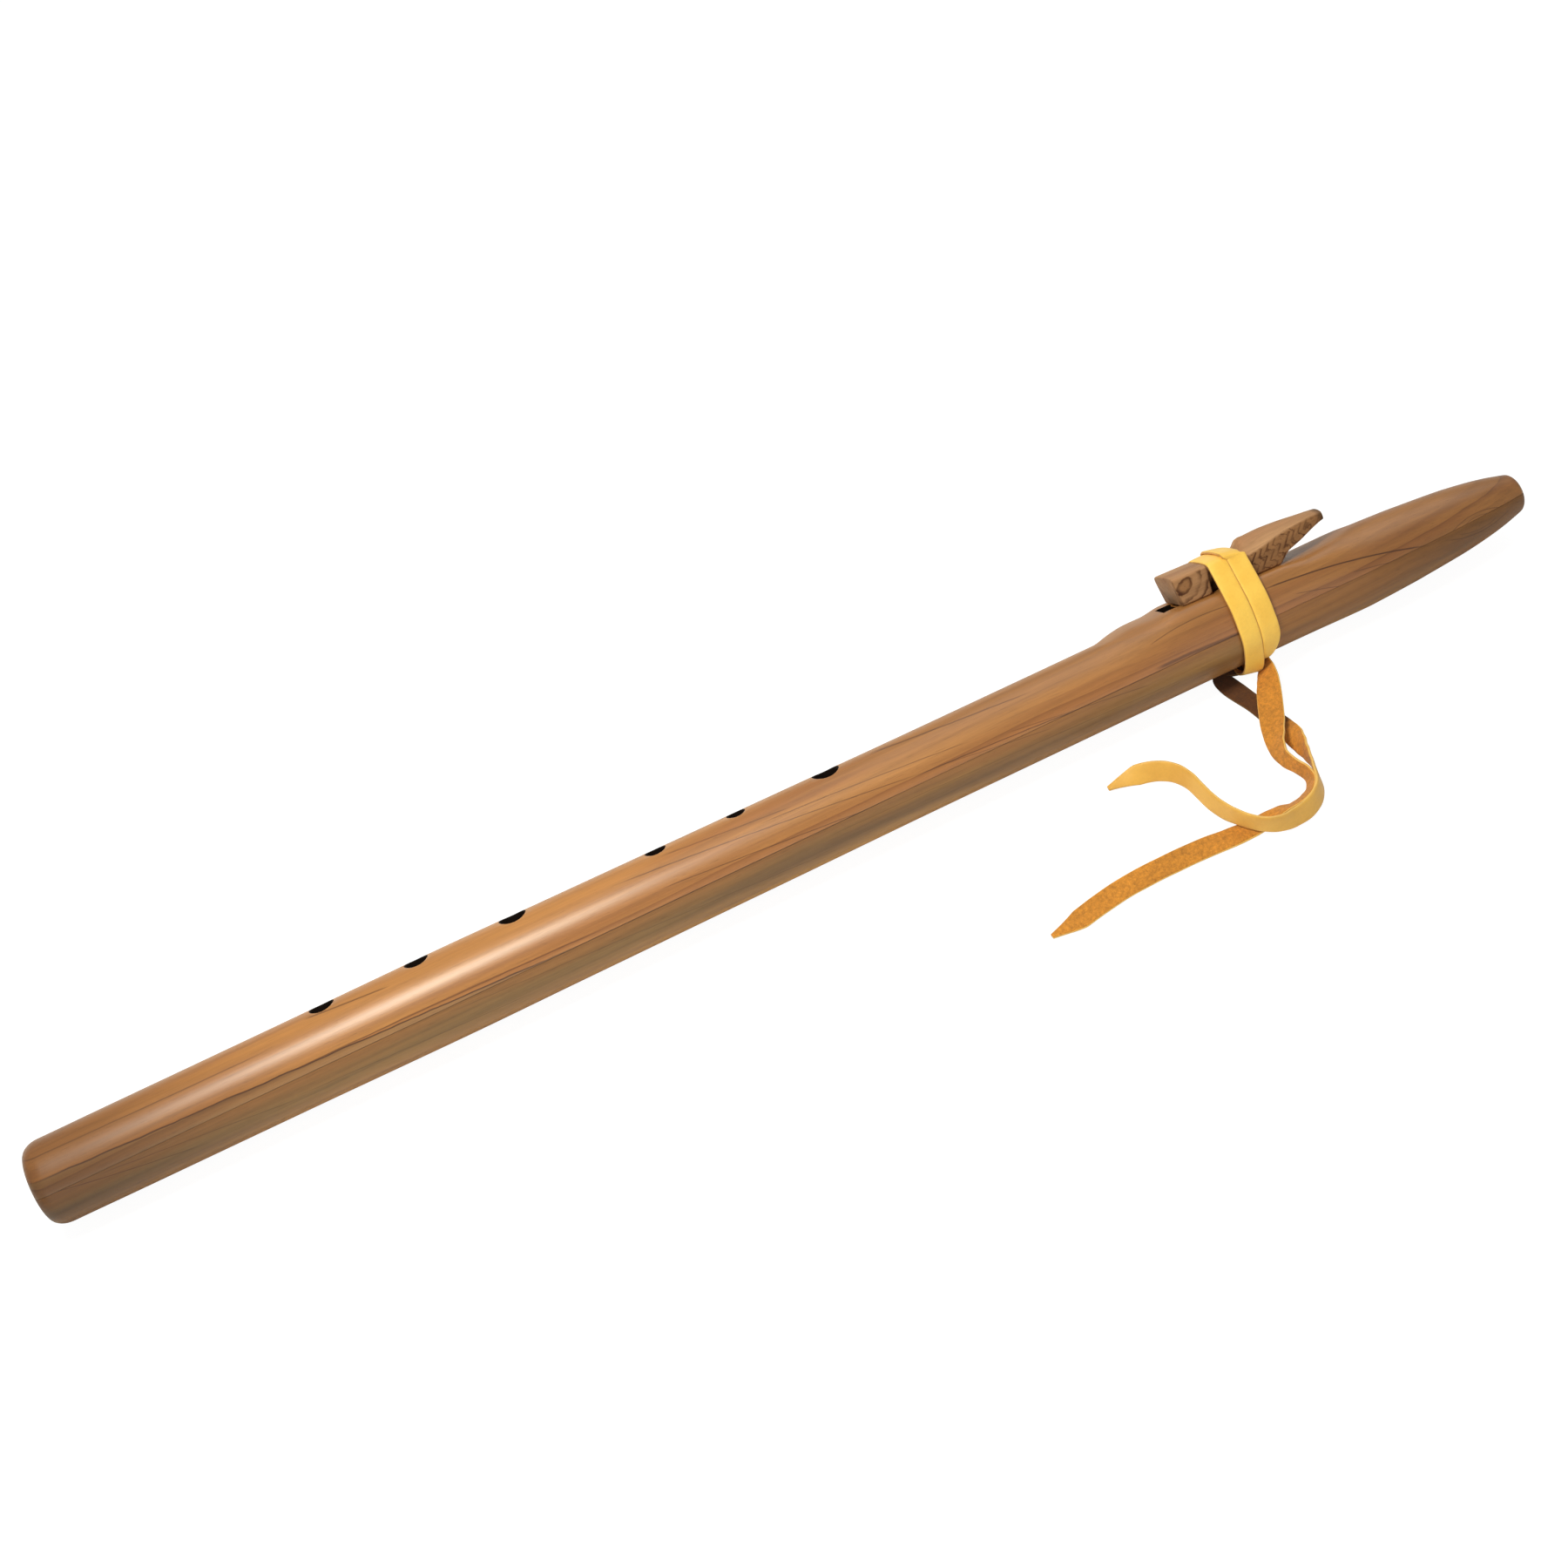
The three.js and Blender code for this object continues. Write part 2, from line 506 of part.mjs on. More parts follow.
// Place along the barrel and lift off it of the winding at an angle: the turns change places at the
// far side, the second over the first
function windingPlace(angle) {
  const step = FULL_TURN / LOOP_STEPS;
  const liftStart = floorAngle + step / 2;
  const crossStart = liftStart + CROSSING_FIRST_STEP * step;
  const crossEnd = crossStart + CROSSING_STEPS * step;
  const { smoothstep } = THREE.MathUtils;
  const leave = smoothstep(angle, crossStart, crossEnd);
  const back = smoothstep(angle - FULL_TURN, crossStart, crossEnd);
  const rise = smoothstep(angle - FULL_TURN, liftStart, crossStart);
  const fall = smoothstep(angle - FULL_TURN, crossEnd, crossEnd + step);
  return {
    x: secondTurnX - (leave - back) * (secondTurnX - firstTurnX),
    lift: CROSSING_LIFT * (rise - fall),
  };
}

// Ring of a flat strip's section at a place
function stripRing(centre, across, up, width, shares) {
  return shares.map(([a, b]) => centre.clone()
    .addScaledVector(across, a * width)
    .addScaledVector(up, b * LACE_THICKNESS));
}

function windingRings() {
  const along = new THREE.Vector3(1, 0, 0);
  return windingAngles().map((angle) => {
    const place = windingPlace(angle);
    const up = outward(angle);
    const centre = furthest(angle, place.x - LACE_WIDTH / 2).clone().setX(place.x);
    centre.addScaledVector(up, LACE_CLEARANCE + LACE_THICKNESS / 2 + place.lift);
    return stripRing(centre, along, up, LACE_WIDTH, WINDING_SECTION_SHARES);
  });
}

// Least distance between steps of the winding that are at least half a turn apart
function leastGap(rings) {
  const samples = rings.slice(0, -1).map((ring, index) => {
    const next = rings[index + 1];
    const points = [];
    ring.forEach((point, corner) => {
      const beside = ring[(corner + 1) % ring.length];
      SAMPLE_SHARES.forEach((share) => {
        const here = point.clone().lerp(beside, share);
        const there = next[corner].clone().lerp(next[(corner + 1) % ring.length], share);
        SAMPLE_SHARES.forEach((along) => points.push(here.clone().lerp(there, along)));
      });
    });
    return points;
  });
  let least = Infinity;
  for (let a = 0; a < samples.length; a += 1) {
    for (let b = a + LOOP_STEPS / 2; b < samples.length; b += 1) {
      for (const p of samples[a]) for (const q of samples[b]) least = Math.min(least, p.distanceTo(q));
    }
  }
  return least;
}

// The table's side of a plane under the flute, in the flute's own unrolled frame
function tableBlock() {
  const reach = BODY_LENGTH;
  const slab = boxBetween(0, reach, -reach / 2, reach / 2, -reach, 0);
  return slab.translate(0, 0, -axisHeight).rotateX(roll);
}

function winding() {
  const rings = windingRings();
  console.log(`lace winding: least gap to itself ${leastGap(rings).toFixed(2)} mm`);
  return geometryOf(solid(loft(rings)).subtract(solid(tableBlock())));
}

// The tied knot, between the two ends of the winding
function knot() {
  const layer = barrelRadius(windingMiddle) + LACE_CLEARANCE + KNOT_THICKNESS / 2;
  const lump = new THREE.SphereGeometry(1, KNOT_AROUND, KNOT_RINGS);
  lump.scale(KNOT_BREADTH / 2, KNOT_LENGTH / 2, KNOT_THICKNESS / 2);
  lump.rotateX(THREE.MathUtils.degToRad(KNOT_ANGLE));
  const centre = outward(KNOT_ANGLE).multiplyScalar(layer).setX(secondTurnX);
  lump.translate(centre.x, centre.y, centre.z);
  return geometryOf(solid(lump));
}

// A free end of the lace along its route, flat or on edge as it leans, with a slanted tip
function tail(route) {
  const points = route.map(([x, y, z]) => new THREE.Vector3(secondTurnX + x, y, z));
  const curve = new THREE.CatmullRomCurve3(points, false, 'centripetal');
  const steps = (route.length - 1) * TAIL_STEPS_PER_POINT;
  const length = curve.getLength();
  const rings = [];
  let run = 0;
  let before = curve.getPoint(0);
  for (let step = 0; step <= steps; step += 1) {
    const at = step / steps;
    const centre = curve.getPoint(at);
    run += centre.distanceTo(before);
    before = centre.clone();
    const tangent = curve.getTangent(at);
    const side = new THREE.Vector3(0, 0, 1).cross(tangent).normalize();
    const top = tangent.clone().cross(side);
    const lean = leanAt(route, at * (route.length - 1));
    const across = side.clone().multiplyScalar(Math.cos(lean)).addScaledVector(top, Math.sin(lean));
    const up = tangent.clone().cross(across).normalize();
    const width = LACE_WIDTH * gatherShare(run) * tipShare(length - run);
    const ring = stripRing(centre, across, up, width, TAIL_SECTION_SHARES);
    rings.push(ring.map((point) => point.setZ(Math.max(0, point.z))));
  }
  console.log(`lace tail: ${length.toFixed(1)} mm long`);
  return geometryOf(solid(loft(rings)));
}

// Lean of a tail in radians, at a place counted in points of its route
function leanAt(route, place) {
  const index = Math.min(Math.floor(place), route.length - 2);
  const share = THREE.MathUtils.smoothstep(place - index, 0, 1);
  return THREE.MathUtils.degToRad(THREE.MathUtils.lerp(route[index][3], route[index + 1][3], share));
}

// Share of the full width that the gathered lace has, at a distance from the knot
function gatherShare(run) {
  return THREE.MathUtils.lerp(TAIL_GATHER_SHARE, 1, Math.min(1, run / TAIL_GATHER_LENGTH));
}

// Share of the full width that is left, at a distance from the tail's end
function tipShare(left) {
  const share = Math.max(0, Math.min(1, left / TAIL_POINT_LENGTH));
  return TAIL_POINT_SHARE + (1 - TAIL_POINT_SHARE) * share;
}

// Named mesh with its finish
function piece(name, geometry, finish) {
  const mesh = new THREE.Mesh(geometry, new THREE.MeshStandardMaterial(finish));
  mesh.name = name;
  return mesh;
}

const wood = barrel();
const rolled = new THREE.Group();
rolled.rotation.x = -roll;
rolled.position.z = axisHeight;
rolled.add(piece('body_upper_half', halfShell(wood, 1), UPPER_CEDAR));
rolled.add(piece('body_lower_half', halfShell(wood, -1), LOWER_CEDAR));
rolled.add(piece('totem_block', geometryOf(solid(loft(blockRings()))), BLOCK_CEDAR));
rolled.add(piece('lace_winding', winding(), YELLOW_LEATHER));
rolled.add(piece('lace_knot', knot(), YELLOW_LEATHER));

// The origin is under the middle of the flute itself, without its lace's free ends
const held = new THREE.Box3().expandByObject(rolled, true);
const middle = held.getCenter(new THREE.Vector3());
const flute = new THREE.Group();
flute.position.set(-middle.x, -middle.y, -held.min.z);
flute.add(rolled);
flute.add(piece('lace_tail_front', tail(FRONT_TAIL_ROUTE), SUEDE_LEATHER));
flute.add(piece('lace_tail_back', tail(BACK_TAIL_ROUTE), YELLOW_LEATHER));

export default flute;
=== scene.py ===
"""Looks of a cedar duct flute: two glued half shells, a carved block, a two-turn leather lace and its
two free ends, lying on a table.

Wood and winding are modelled in millimetres from the foot, on the flute's own axis and block side up,
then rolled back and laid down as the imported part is. The free ends are laid out above the table.
"""
import logging
import math
from dataclasses import dataclass, field, replace
from enum import Enum
from typing import Callable, Sequence

import bmesh
import bpy
from mathutils import Matrix, Vector, noise


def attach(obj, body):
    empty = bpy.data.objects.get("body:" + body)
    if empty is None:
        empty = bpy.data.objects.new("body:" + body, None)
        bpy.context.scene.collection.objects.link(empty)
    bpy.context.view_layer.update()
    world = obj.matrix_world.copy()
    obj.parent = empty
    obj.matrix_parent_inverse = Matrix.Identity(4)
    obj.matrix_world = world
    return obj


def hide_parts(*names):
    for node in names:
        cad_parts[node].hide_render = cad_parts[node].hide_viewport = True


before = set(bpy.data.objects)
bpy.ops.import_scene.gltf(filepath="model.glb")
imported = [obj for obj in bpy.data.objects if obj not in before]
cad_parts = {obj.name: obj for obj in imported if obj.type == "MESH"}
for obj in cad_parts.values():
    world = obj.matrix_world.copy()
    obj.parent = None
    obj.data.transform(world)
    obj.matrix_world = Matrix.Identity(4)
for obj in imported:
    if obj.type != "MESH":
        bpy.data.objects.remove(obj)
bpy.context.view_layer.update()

LOG = logging.getLogger("flute")
MM = 0.001
FULL_TURN = 360.0
HALF_TURN = 180.0
FACE_LIMIT = math.radians(38.0)  # edges sharper than this keep a crisp shade

Row = tuple[float, ...]
Socket = bpy.types.NodeSocket


class Half(Enum):
    """The two half shells of the barrel, by their side of the glue line."""

    UPPER = 1
    LOWER = -1


class Skin(Enum):
    """Which face of the lace lies on the outside of its section."""

    SMOOTH = 0.0
    SUEDE = 1.0


# ---- Arithmetic ----


def smooth_step(value: float, low: float, high: float) -> float:
    """Eases from 0 at low to 1 at high."""
    share = min(1.0, max(0.0, (value - low) / (high - low)))
    return share * share * (3 - 2 * share)


def smooth_minimum(a: float, b: float, blend: float) -> float:
    """The smaller of two heights, with the corner between them rounded over a blend height."""
    share = max(0.0, blend - abs(a - b)) / blend
    return min(a, b) - share * share * blend / 4


def smooth_table(rows: Sequence[Row], at: float) -> float:
    """Reads a table of [place, value] rows with a smooth curve through its points.

    Args:
        rows: places in rising order, each with its value.
        at: the place to read.

    Returns:
        The value there, held past either end.
    """
    if at <= rows[0][0]:
        return rows[0][1]
    if at >= rows[-1][0]:
        return rows[-1][1]
    index = max(i for i, row in enumerate(rows[:-1]) if row[0] <= at)
    (t0, y0), (t1, y1) = rows[index][:2], rows[index + 1][:2]
    before = rows[index - 1] if index else (2 * t0 - t1, y1)
    after = rows[index + 2] if index + 2 < len(rows) else (2 * t1 - t0, y0)
    share = (at - t0) / (t1 - t0)
    half = (t1 - t0) / 2
    near, far = half / (t0 - before[0]), half / (after[0] - t1)
    square, cube = share ** 2, share ** 3
    return (
        (-near * cube + 2 * near * square - near * share) * before[1]
        + ((1 + near) * cube + (-1.5 - 2 * near) * square + (-0.5 + near) * share + 1) * y0
        + ((-1 - far) * cube + (1.5 + far) * square + 0.5 * share) * y1
        + (far * cube - far * square) * after[1]
    )


def between(start: float, end: float, step: float) -> list[float]:
    """Evenly spaced places from start up to but not including end, about a step apart."""
    count = max(1, round((end - start) / step))
    return [start + (end - start) * i / count for i in range(count)]


# ---- Meshes ----


def fresh_mesh() -> bmesh.types.BMesh:
    """An empty mesh to model in."""
    return bmesh.new()


def sweep(mesh: bmesh.types.BMesh, rings: Sequence[Sequence[Vector]]) -> None:
    """Extrudes a closed ring of points along further rings of as many points, and caps both ends.

    Each vertex is given its share of the way along the sweep and round the ring, which becomes the
    map named Strip.

    Args:
        mesh: the mesh that the tube is added to.
        rings: the rings, which all have the same number of points.
    """
    along = mesh.verts.layers.float.new("along")
    side = mesh.verts.layers.float.new("side")
    run = [0.0]
    for ring, following in zip(rings, rings[1:]):
        step = sum((b - a).length for a, b in zip(ring, following)) / len(ring)
        run.append(run[-1] + step)
    count = len(rings[0])
    verts = [mesh.verts.new(point) for point in rings[0]]
    for index, vert in enumerate(verts):
        vert[side] = index
    edges = [mesh.edges.new((verts[i], verts[(i + 1) % count])) for i in range(count)]
    first = list(edges)
    for place, ring in zip(run[1:], rings[1:]):
        old = set(verts)
        made = bmesh.ops.extrude_edge_only(mesh, edges=edges)["geom"]
        new = [item for item in made if isinstance(item, bmesh.types.BMVert)]
        follower = {}
        for vert in new:
            ends = (edge.other_vert(vert) for edge in vert.link_edges)
            follower[next(end for end in ends if end in old)] = vert
        verts = [follower[vert] for vert in verts]
        for index, (vert, point) in enumerate(zip(verts, ring)):
            vert.co = point
            vert[side] = index
            vert[along] = place
        edges = [mesh.edges.get((verts[i], verts[(i + 1) % count])) for i in range(count)]
    strip = mesh.loops.layers.uv.new("Strip")
    for face in mesh.faces:
        wraps = any(vert[side] == 0 for vert in face.verts) and any(
            vert[side] == count - 1 for vert in face.verts
        )
        for loop in face.loops:
            at = loop.vert[side]
            at = count if wraps and at == 0 else at
            loop[strip].uv = (loop.vert[along] / max(run[-1], MM), at / count)
    bmesh.ops.contextual_create(mesh, geom=first)
    bmesh.ops.contextual_create(mesh, geom=edges)


def make_piece(name: str, mesh: bmesh.types.BMesh, place: Matrix) -> bpy.types.Object:
    """Turns a finished mesh into an object at the origin, smooth but for its sharp edges.

    Args:
        name: the object's name.
        mesh: the mesh, which is freed.
        place: takes the mesh's own millimetres to the frame's metres.

    Returns:
        The new object, linked to the scene.
    """
    bmesh.ops.recalc_face_normals(mesh, faces=mesh.faces)
    bmesh.ops.transform(mesh, matrix=place, verts=mesh.verts)
    for face in mesh.faces:
        face.smooth = True
    for edge in mesh.edges:
        edge.smooth = not (edge.is_manifold and edge.calc_face_angle(0.0) > FACE_LIMIT)
    data = bpy.data.meshes.new(name)
    mesh.to_mesh(data)
    mesh.free()
    made = bpy.data.objects.new(name, data)
    bpy.context.scene.collection.objects.link(made)
    return made


def apply_modifiers(made: bpy.types.Object) -> None:
    """Keeps an object's evaluated mesh in place of its modifiers."""
    bpy.context.view_layer.update()
    graph = bpy.context.evaluated_depsgraph_get()
    data = bpy.data.meshes.new_from_object(made.evaluated_get(graph))
    made.modifiers.clear()
    made.data = data


def cut(mesh: bmesh.types.BMesh, cutter: bmesh.types.BMesh) -> bmesh.types.BMesh:
    """Cuts closed cutters out of a solid.

    Args:
        mesh: the solid, which is freed.
        cutter: the cutters, which may cross each other, and are freed.

    Returns:
        The solid that is left.
    """
    solid = make_piece("wood", mesh, Matrix.Identity(4))
    tool = make_piece("tool", cutter, Matrix.Identity(4))
    boolean = solid.modifiers.new("Cut", "BOOLEAN")
    boolean.operation = "DIFFERENCE"
    boolean.solver = "EXACT"
    boolean.use_self = True
    boolean.object = tool
    apply_modifiers(solid)
    left = fresh_mesh()
    left.from_mesh(solid.data)
    for spent in (solid, tool):
        data = spent.data
        bpy.data.objects.remove(spent)
        bpy.data.meshes.remove(data)
    return left


def box_mesh(mesh: bmesh.types.BMesh, low: Row, high: Row) -> None:
    """Adds a box between two corners to a mesh."""
    size = Vector(high) - Vector(low)
    place = Matrix.Translation((Vector(high) + Vector(low)) / 2)
    bmesh.ops.create_cube(mesh, size=1.0, matrix=place @ Matrix.Diagonal((*size, 1.0)))


# ---- Where the flute lies ----


@dataclass(frozen=True)
class Lie:
    """How the flute lies: its axis above the table, and its block side rolled back from the viewer."""

    roll_degrees: float = 36.0
    foot_x: float = -307.3
    axis_y: float = -3.7395
    axis_z: float = 17.0523

    def flute(self) -> Matrix:
        """Takes millimetres from the foot on the unrolled axis to the frame's metres."""
        place = Matrix.Translation((self.foot_x, self.axis_y, self.axis_z))
        roll = Matrix.Rotation(-math.radians(self.roll_degrees), 4, "X")
        return Matrix.Scale(MM, 4) @ place @ roll

    def table(self) -> Matrix:
        """Takes millimetres from the foot, across from the axis and above the table to the frame."""
        return Matrix.Scale(MM, 4) @ Matrix.Translation((self.foot_x, self.axis_y, 0.0))


LIE = Lie()


# ---- The barrel ----


@dataclass
class Barrel:
    """The hollow cedar barrel, from its open foot to the blunt mouth end.

    Lengths are in millimetres from the foot; the nest is the planed seat of the block.
    """

    length: float = 614.6
    radius: float = 16.0
    bore_radius: float = 11.1
    foot_round: Row = (6.5, 4.0)
    outline: tuple[Row, ...] = (
        (0.0, 1.0), (0.02, 1.0), (0.045, 1.006), (0.108, 1.012), (0.169, 1.019), (0.22, 1.031),
        (0.27, 1.0375), (0.325, 1.022), (0.374, 1.0125), (0.426, 1.0), (0.48, 0.992), (0.56, 0.973),
        (0.64, 0.971), (0.712, 0.972), (0.79, 0.976), (0.835, 0.985), (0.8783, 1.009375),
    )
    nose_length: float = 74.8
    nose_radii: Row = (6.9, 16.15)
    nose_outline: tuple[Row, ...] = (
        (0.0, 0.0), (0.014, 0.09), (0.036, 0.152), (0.075, 0.235), (0.115, 0.318), (0.154, 0.387),
        (0.193, 0.449), (0.231, 0.502), (0.309, 0.597), (0.386, 0.677), (0.463, 0.736),
        (0.54, 0.788), (0.618, 0.837), (0.694, 0.885), (0.77, 0.919), (0.848, 0.952),
        (0.924, 0.978), (1.0, 1.0),
    )
    breath_radius: float = 4.0
    nose_wall: float = 4.6
    passage: Row = (1.0, 0.8, 0.62, 0.46, 0.32, 0.2, 0.12, 0.07)
    ramp: Row = (434.5, 450.0)
    swell: Row = (424.0, 476.0)
    far_swell: Row = (433.0, 451.0)
    runout: Row = (513.1, 548.1)
    nest_height: float = 16.9
    nest_from: float = 467.1
    nest_fall: float = 0.0325
    nest_crown: float = 19.0
    nest_power: float = 3.0
    nest_edge: float = 1.1
    nest_edge_soft: float = 5.6
    seat: Row = (456.0, 466.0, 508.0, 522.0)
    chamber_wall: Row = (469.4, 483.4)
    sound_hole: Row = (461.6, 468.4, 9.0)
    exit_hole: Row = (484.4, 490.4, 9.0)
    flue_depth: float = 1.0
    edge_thickness: float = 0.9
    edge_undercut: float = 7.5
    hole_places: Row = (115.79, 152.91, 191.08, 248.61, 281.43, 318.49)
    hole_diameters: Row = (8.6, 8.3, 9.6, 7.3, 6.5, 9.8)
    hole_lip: float = 0.7
    around: int = 144
    glue_gap: float = 0.08
    pieces: dict[Half, bpy.types.Object] = field(default_factory=dict)

    def outer(self, x: float) -> float:
        """Outer radius of the round barrel and nose."""
        start = self.length - self.nose_length
        if x >= start:
            tip, wide = self.nose_radii
            share = smooth_table(self.nose_outline, (self.length - x) / self.nose_length)
            return tip + share * (wide - tip)
        radius = self.radius * smooth_table(self.outline, x / self.length)
        reach, inward = self.foot_round
        if x >= reach:
            return radius
        share = 1 - max(0.0, x) / reach
        return radius - inward * (1 - math.sqrt(1 - share * share))

    def nest_share(self, x: float) -> float:
        """How far the section has become the squared one of the nest, from 0 to 1."""
        return smooth_step(x, *self.ramp) * (1 - smooth_step(x, *self.runout))

    def nest_plane(self, x: float) -> float:
        """Height of the planed nest above the axis."""
        return self.nest_height - self.nest_fall * (x - self.nest_from)

    def surface(self, x: float, angle: float) -> Vector:
        """The point of the outside at an angle in radians from the block side, round the near side."""
        radius = self.outer(x)
        sine, cosine = -math.sin(angle), math.cos(angle)
        share = self.nest_share(x) if cosine > 0 else 0.0
        swell = 0.0
        if cosine > 0:
            near, far = smooth_step(x, *self.swell), smooth_step(x, *self.far_swell)
            swell = near + (far - near) * smooth_step(sine, -0.4, 0.1)
            swell *= 1 - smooth_step(x, *self.runout)
        power = 2 + swell * (self.nest_power - 2)
        crown = radius + swell * (self.nest_crown - radius)
        y = radius * math.copysign(abs(sine) ** (2 / power), sine)
        z = crown * math.copysign(abs(cosine) ** (2 / power), cosine)
        if swell:
            planed = radius + share * (self.nest_plane(x) - radius)
            start, full, leave, end = self.seat
            crisp = smooth_step(x, start, full) * (1 - smooth_step(x, leave, end))
            edge = self.nest_edge_soft + crisp * (self.nest_edge - self.nest_edge_soft)
            z = smooth_minimum(z, planed, max(edge * share, 0.05))
        return Vector((x, y, z))

    def profile(self) -> list[Vector]:
        """The wall's outline from the sound chamber's end, round the foot and mouth, to the slow one."""
        wall_start, wall_end = self.chamber_wall
        reach = self.foot_round[0]
        nose = self.length - self.nose_length
        inside = [(wall_start, 0.0)]
        inside += [(x, self.bore_radius) for x in reversed(between(1.0, wall_start, 24.0))]
        inside += [(wall_start, self.bore_radius)]
        inside = [inside[0], inside[-1], *inside[1:-1]]
        rim = [(0.35, self.bore_radius + 0.12), (0.0, self.bore_radius + 0.42)]
        foot = [reach * (1 - math.cos(math.pi / 2 * i / 9)) for i in range(9)]
        stations = foot + between(reach, self.swell[0], 4.0)
        stations += between(self.swell[0], self.runout[1], 1.0)
        stations += between(self.runout[1], self.length - 12, 2.0)
        stations += between(self.length - 12, self.length - 3, 1.0)
        stations += between(self.length - 3, self.length, 0.35)
        outside = [(x, self.outer(x)) for x in stations]
        mouth = [(self.length - 0.02, self.nose_radii[0] - 0.25), (self.length, 6.1), (self.length, 4.9)]
        mouth += [(self.length - 0.25, 4.25), (self.length - 0.9, self.breath_radius)]
        passage = []
        for share in reversed(self.passage):
            x = self.length - share * self.nose_length
            wide = min(self.bore_radius, self.outer(x) - self.nose_wall)
            passage.append((x, max(self.breath_radius, wide)))
        passage += [(x, self.bore_radius) for x in reversed(between(wall_end, nose, 14.0))]
        passage.append((wall_end, 0.0))
        return [Vector((x, 0.0, r)) for x, r in inside + rim + outside + mouth + passage]

    def hollow_wood(self) -> bmesh.types.BMesh:
        """Spins the wall's outline round the axis and shapes the nest on its outside."""
        mesh = fresh_mesh()
        verts = [mesh.verts.new(point) for point in self.profile()]
        edges = [mesh.edges.new(pair) for pair in zip(verts, verts[1:])]
        bmesh.ops.spin(
            mesh, geom=verts + edges, cent=(0, 0, 0), axis=(1, 0, 0), dvec=(0, 0, 0),
            angle=math.radians(FULL_TURN), steps=self.around, use_merge=True, use_duplicate=False,
        )
        bmesh.ops.remove_doubles(mesh, verts=mesh.verts, dist=1e-4)
        for vert in mesh.verts:
            x, y, z = vert.co
            if self.swell[0] < x < self.runout[1] and math.hypot(y, z) > self.bore_radius + 1:
                vert.co = self.surface(x, math.atan2(-y, z))
        return mesh

    def hole_cutter(self, mesh: bmesh.types.BMesh, x: float, diameter: float) -> None:
        """Adds the cutter of one finger hole, whose lip follows the barrel."""
        count = 56
        lip = self.hole_lip
        floor = self.bore_radius * 0.45
        steps = [math.radians(degrees) for degrees in (0, 16, 32, 48, 62, 74)]

        def ring(grow: float, height: Callable[[float, float], float]) -> list[Vector]:
            points = []
            for index in range(count):
                turn = math.radians(FULL_TURN) * index / count
                reach = diameter / 2 + grow
                at, y = x + reach * math.cos(turn), reach * math.sin(turn)
                points.append(Vector((at, y, height(at, y))))
            return points

        def top(at: float, y: float) -> float:
            return math.sqrt(self.outer(at) ** 2 - y * y)

        rings = [ring(0.0, lambda at, y: floor)]
        rings += [
            ring(lip * (1 - math.cos(a)), lambda at, y, a=a: top(at, y) - lip * (1 - math.sin(a)))
            for a in steps
        ]
        rings.append(ring(lip * 2.2, lambda at, y: top(at, y) + lip * 0.5))
        rings.append(ring(lip * 2.2, lambda at, y: self.radius + 4))
        part = fresh_mesh()
        sweep(part, rings)
        add_mesh(mesh, part, finish=1)

    def air_way(self, mesh: bmesh.types.BMesh) -> None:
        """Adds cutters of the sound hole with its thin splitting edge, the flue and the exit hole."""
        start, end, width = self.sound_hole
        roof = self.nest_crown + 2
        near, far, exit_width = self.exit_hole
        for low, high, breadth in ((start, end, width), (near, far, exit_width)):
            hole = fresh_mesh()
            box_mesh(hole, (low, -breadth / 2, 0.0), (high, breadth / 2, roof))
            add_mesh(mesh, hole, finish=1)
        flue = fresh_mesh()
        rings = []
        for x in (end - 2, far):
            floor = self.nest_plane(x) - self.flue_depth
            half = exit_width / 2
            rings.append([Vector((x, y, z)) for y, z in (
                (-half, floor), (half, floor), (half, roof), (-half, roof),
            )])
        sweep(flue, rings)
        add_mesh(mesh, flue)
        wedge = fresh_mesh()
        under = self.nest_plane(start) - self.edge_thickness
        low = self.bore_radius - 2
        rings = [
            [Vector((x, y, z)) for x, z in (
                (start - self.edge_undercut, 0.0), (start + 2, 0.0), (start + 2, under),
                (start, under), (start - self.edge_undercut, low),
            )]
            for y in (-width / 2, width / 2)
        ]
        sweep(wedge, rings)
        add_mesh(mesh, wedge, finish=1)

    def part(self, mesh: bmesh.types.BMesh, half: Half) -> bmesh.types.BMesh:
        """Parts the barrel at the glue line and closes the cut.

        Args:
            mesh: the whole barrel, which is freed.
            half: the side to keep.

        Returns:
            The closed half shell.
        """
        height = half.value * self.glue_gap / 2
        bmesh.ops.bisect_plane(
            mesh, geom=[*mesh.verts, *mesh.edges, *mesh.faces], dist=1e-5,
            plane_co=(0, 0, height), plane_no=(0, 0, half.value), clear_inner=True,
        )
        rim = [edge for edge in mesh.edges if edge.is_boundary]
        bmesh.ops.triangle_fill(mesh, use_beauty=True, edges=rim)
        return mesh

    def build(self, finishes: dict[Half, bpy.types.Material], hole_walls: bpy.types.Material) -> None:
        """Builds both half shells in place of their plain solids.

        Args:
            finishes: the material of each half.
            hole_walls: the material of the holes' walls.
        """
        cutter = fresh_mesh()
        for x, diameter in zip(self.hole_places, self.hole_diameters):
            self.hole_cutter(cutter, x, diameter)
        self.air_way(cutter)
        wood = cut(self.hollow_wood(), cutter)
        for half, node in ((Half.UPPER, "body_upper_half"), (Half.LOWER, "body_lower_half")):
            made = make_piece(f"{node}_wood", self.part(wood.copy(), half), LIE.flute())
            made.data.materials.append(finishes[half])
            made.data.materials.append(hole_walls)
            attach(made, "flute_body")
            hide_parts(node)
            self.pieces[half] = made
            LOG.info("%s: %d faces", made.name, len(made.data.polygons))
        wood.free()


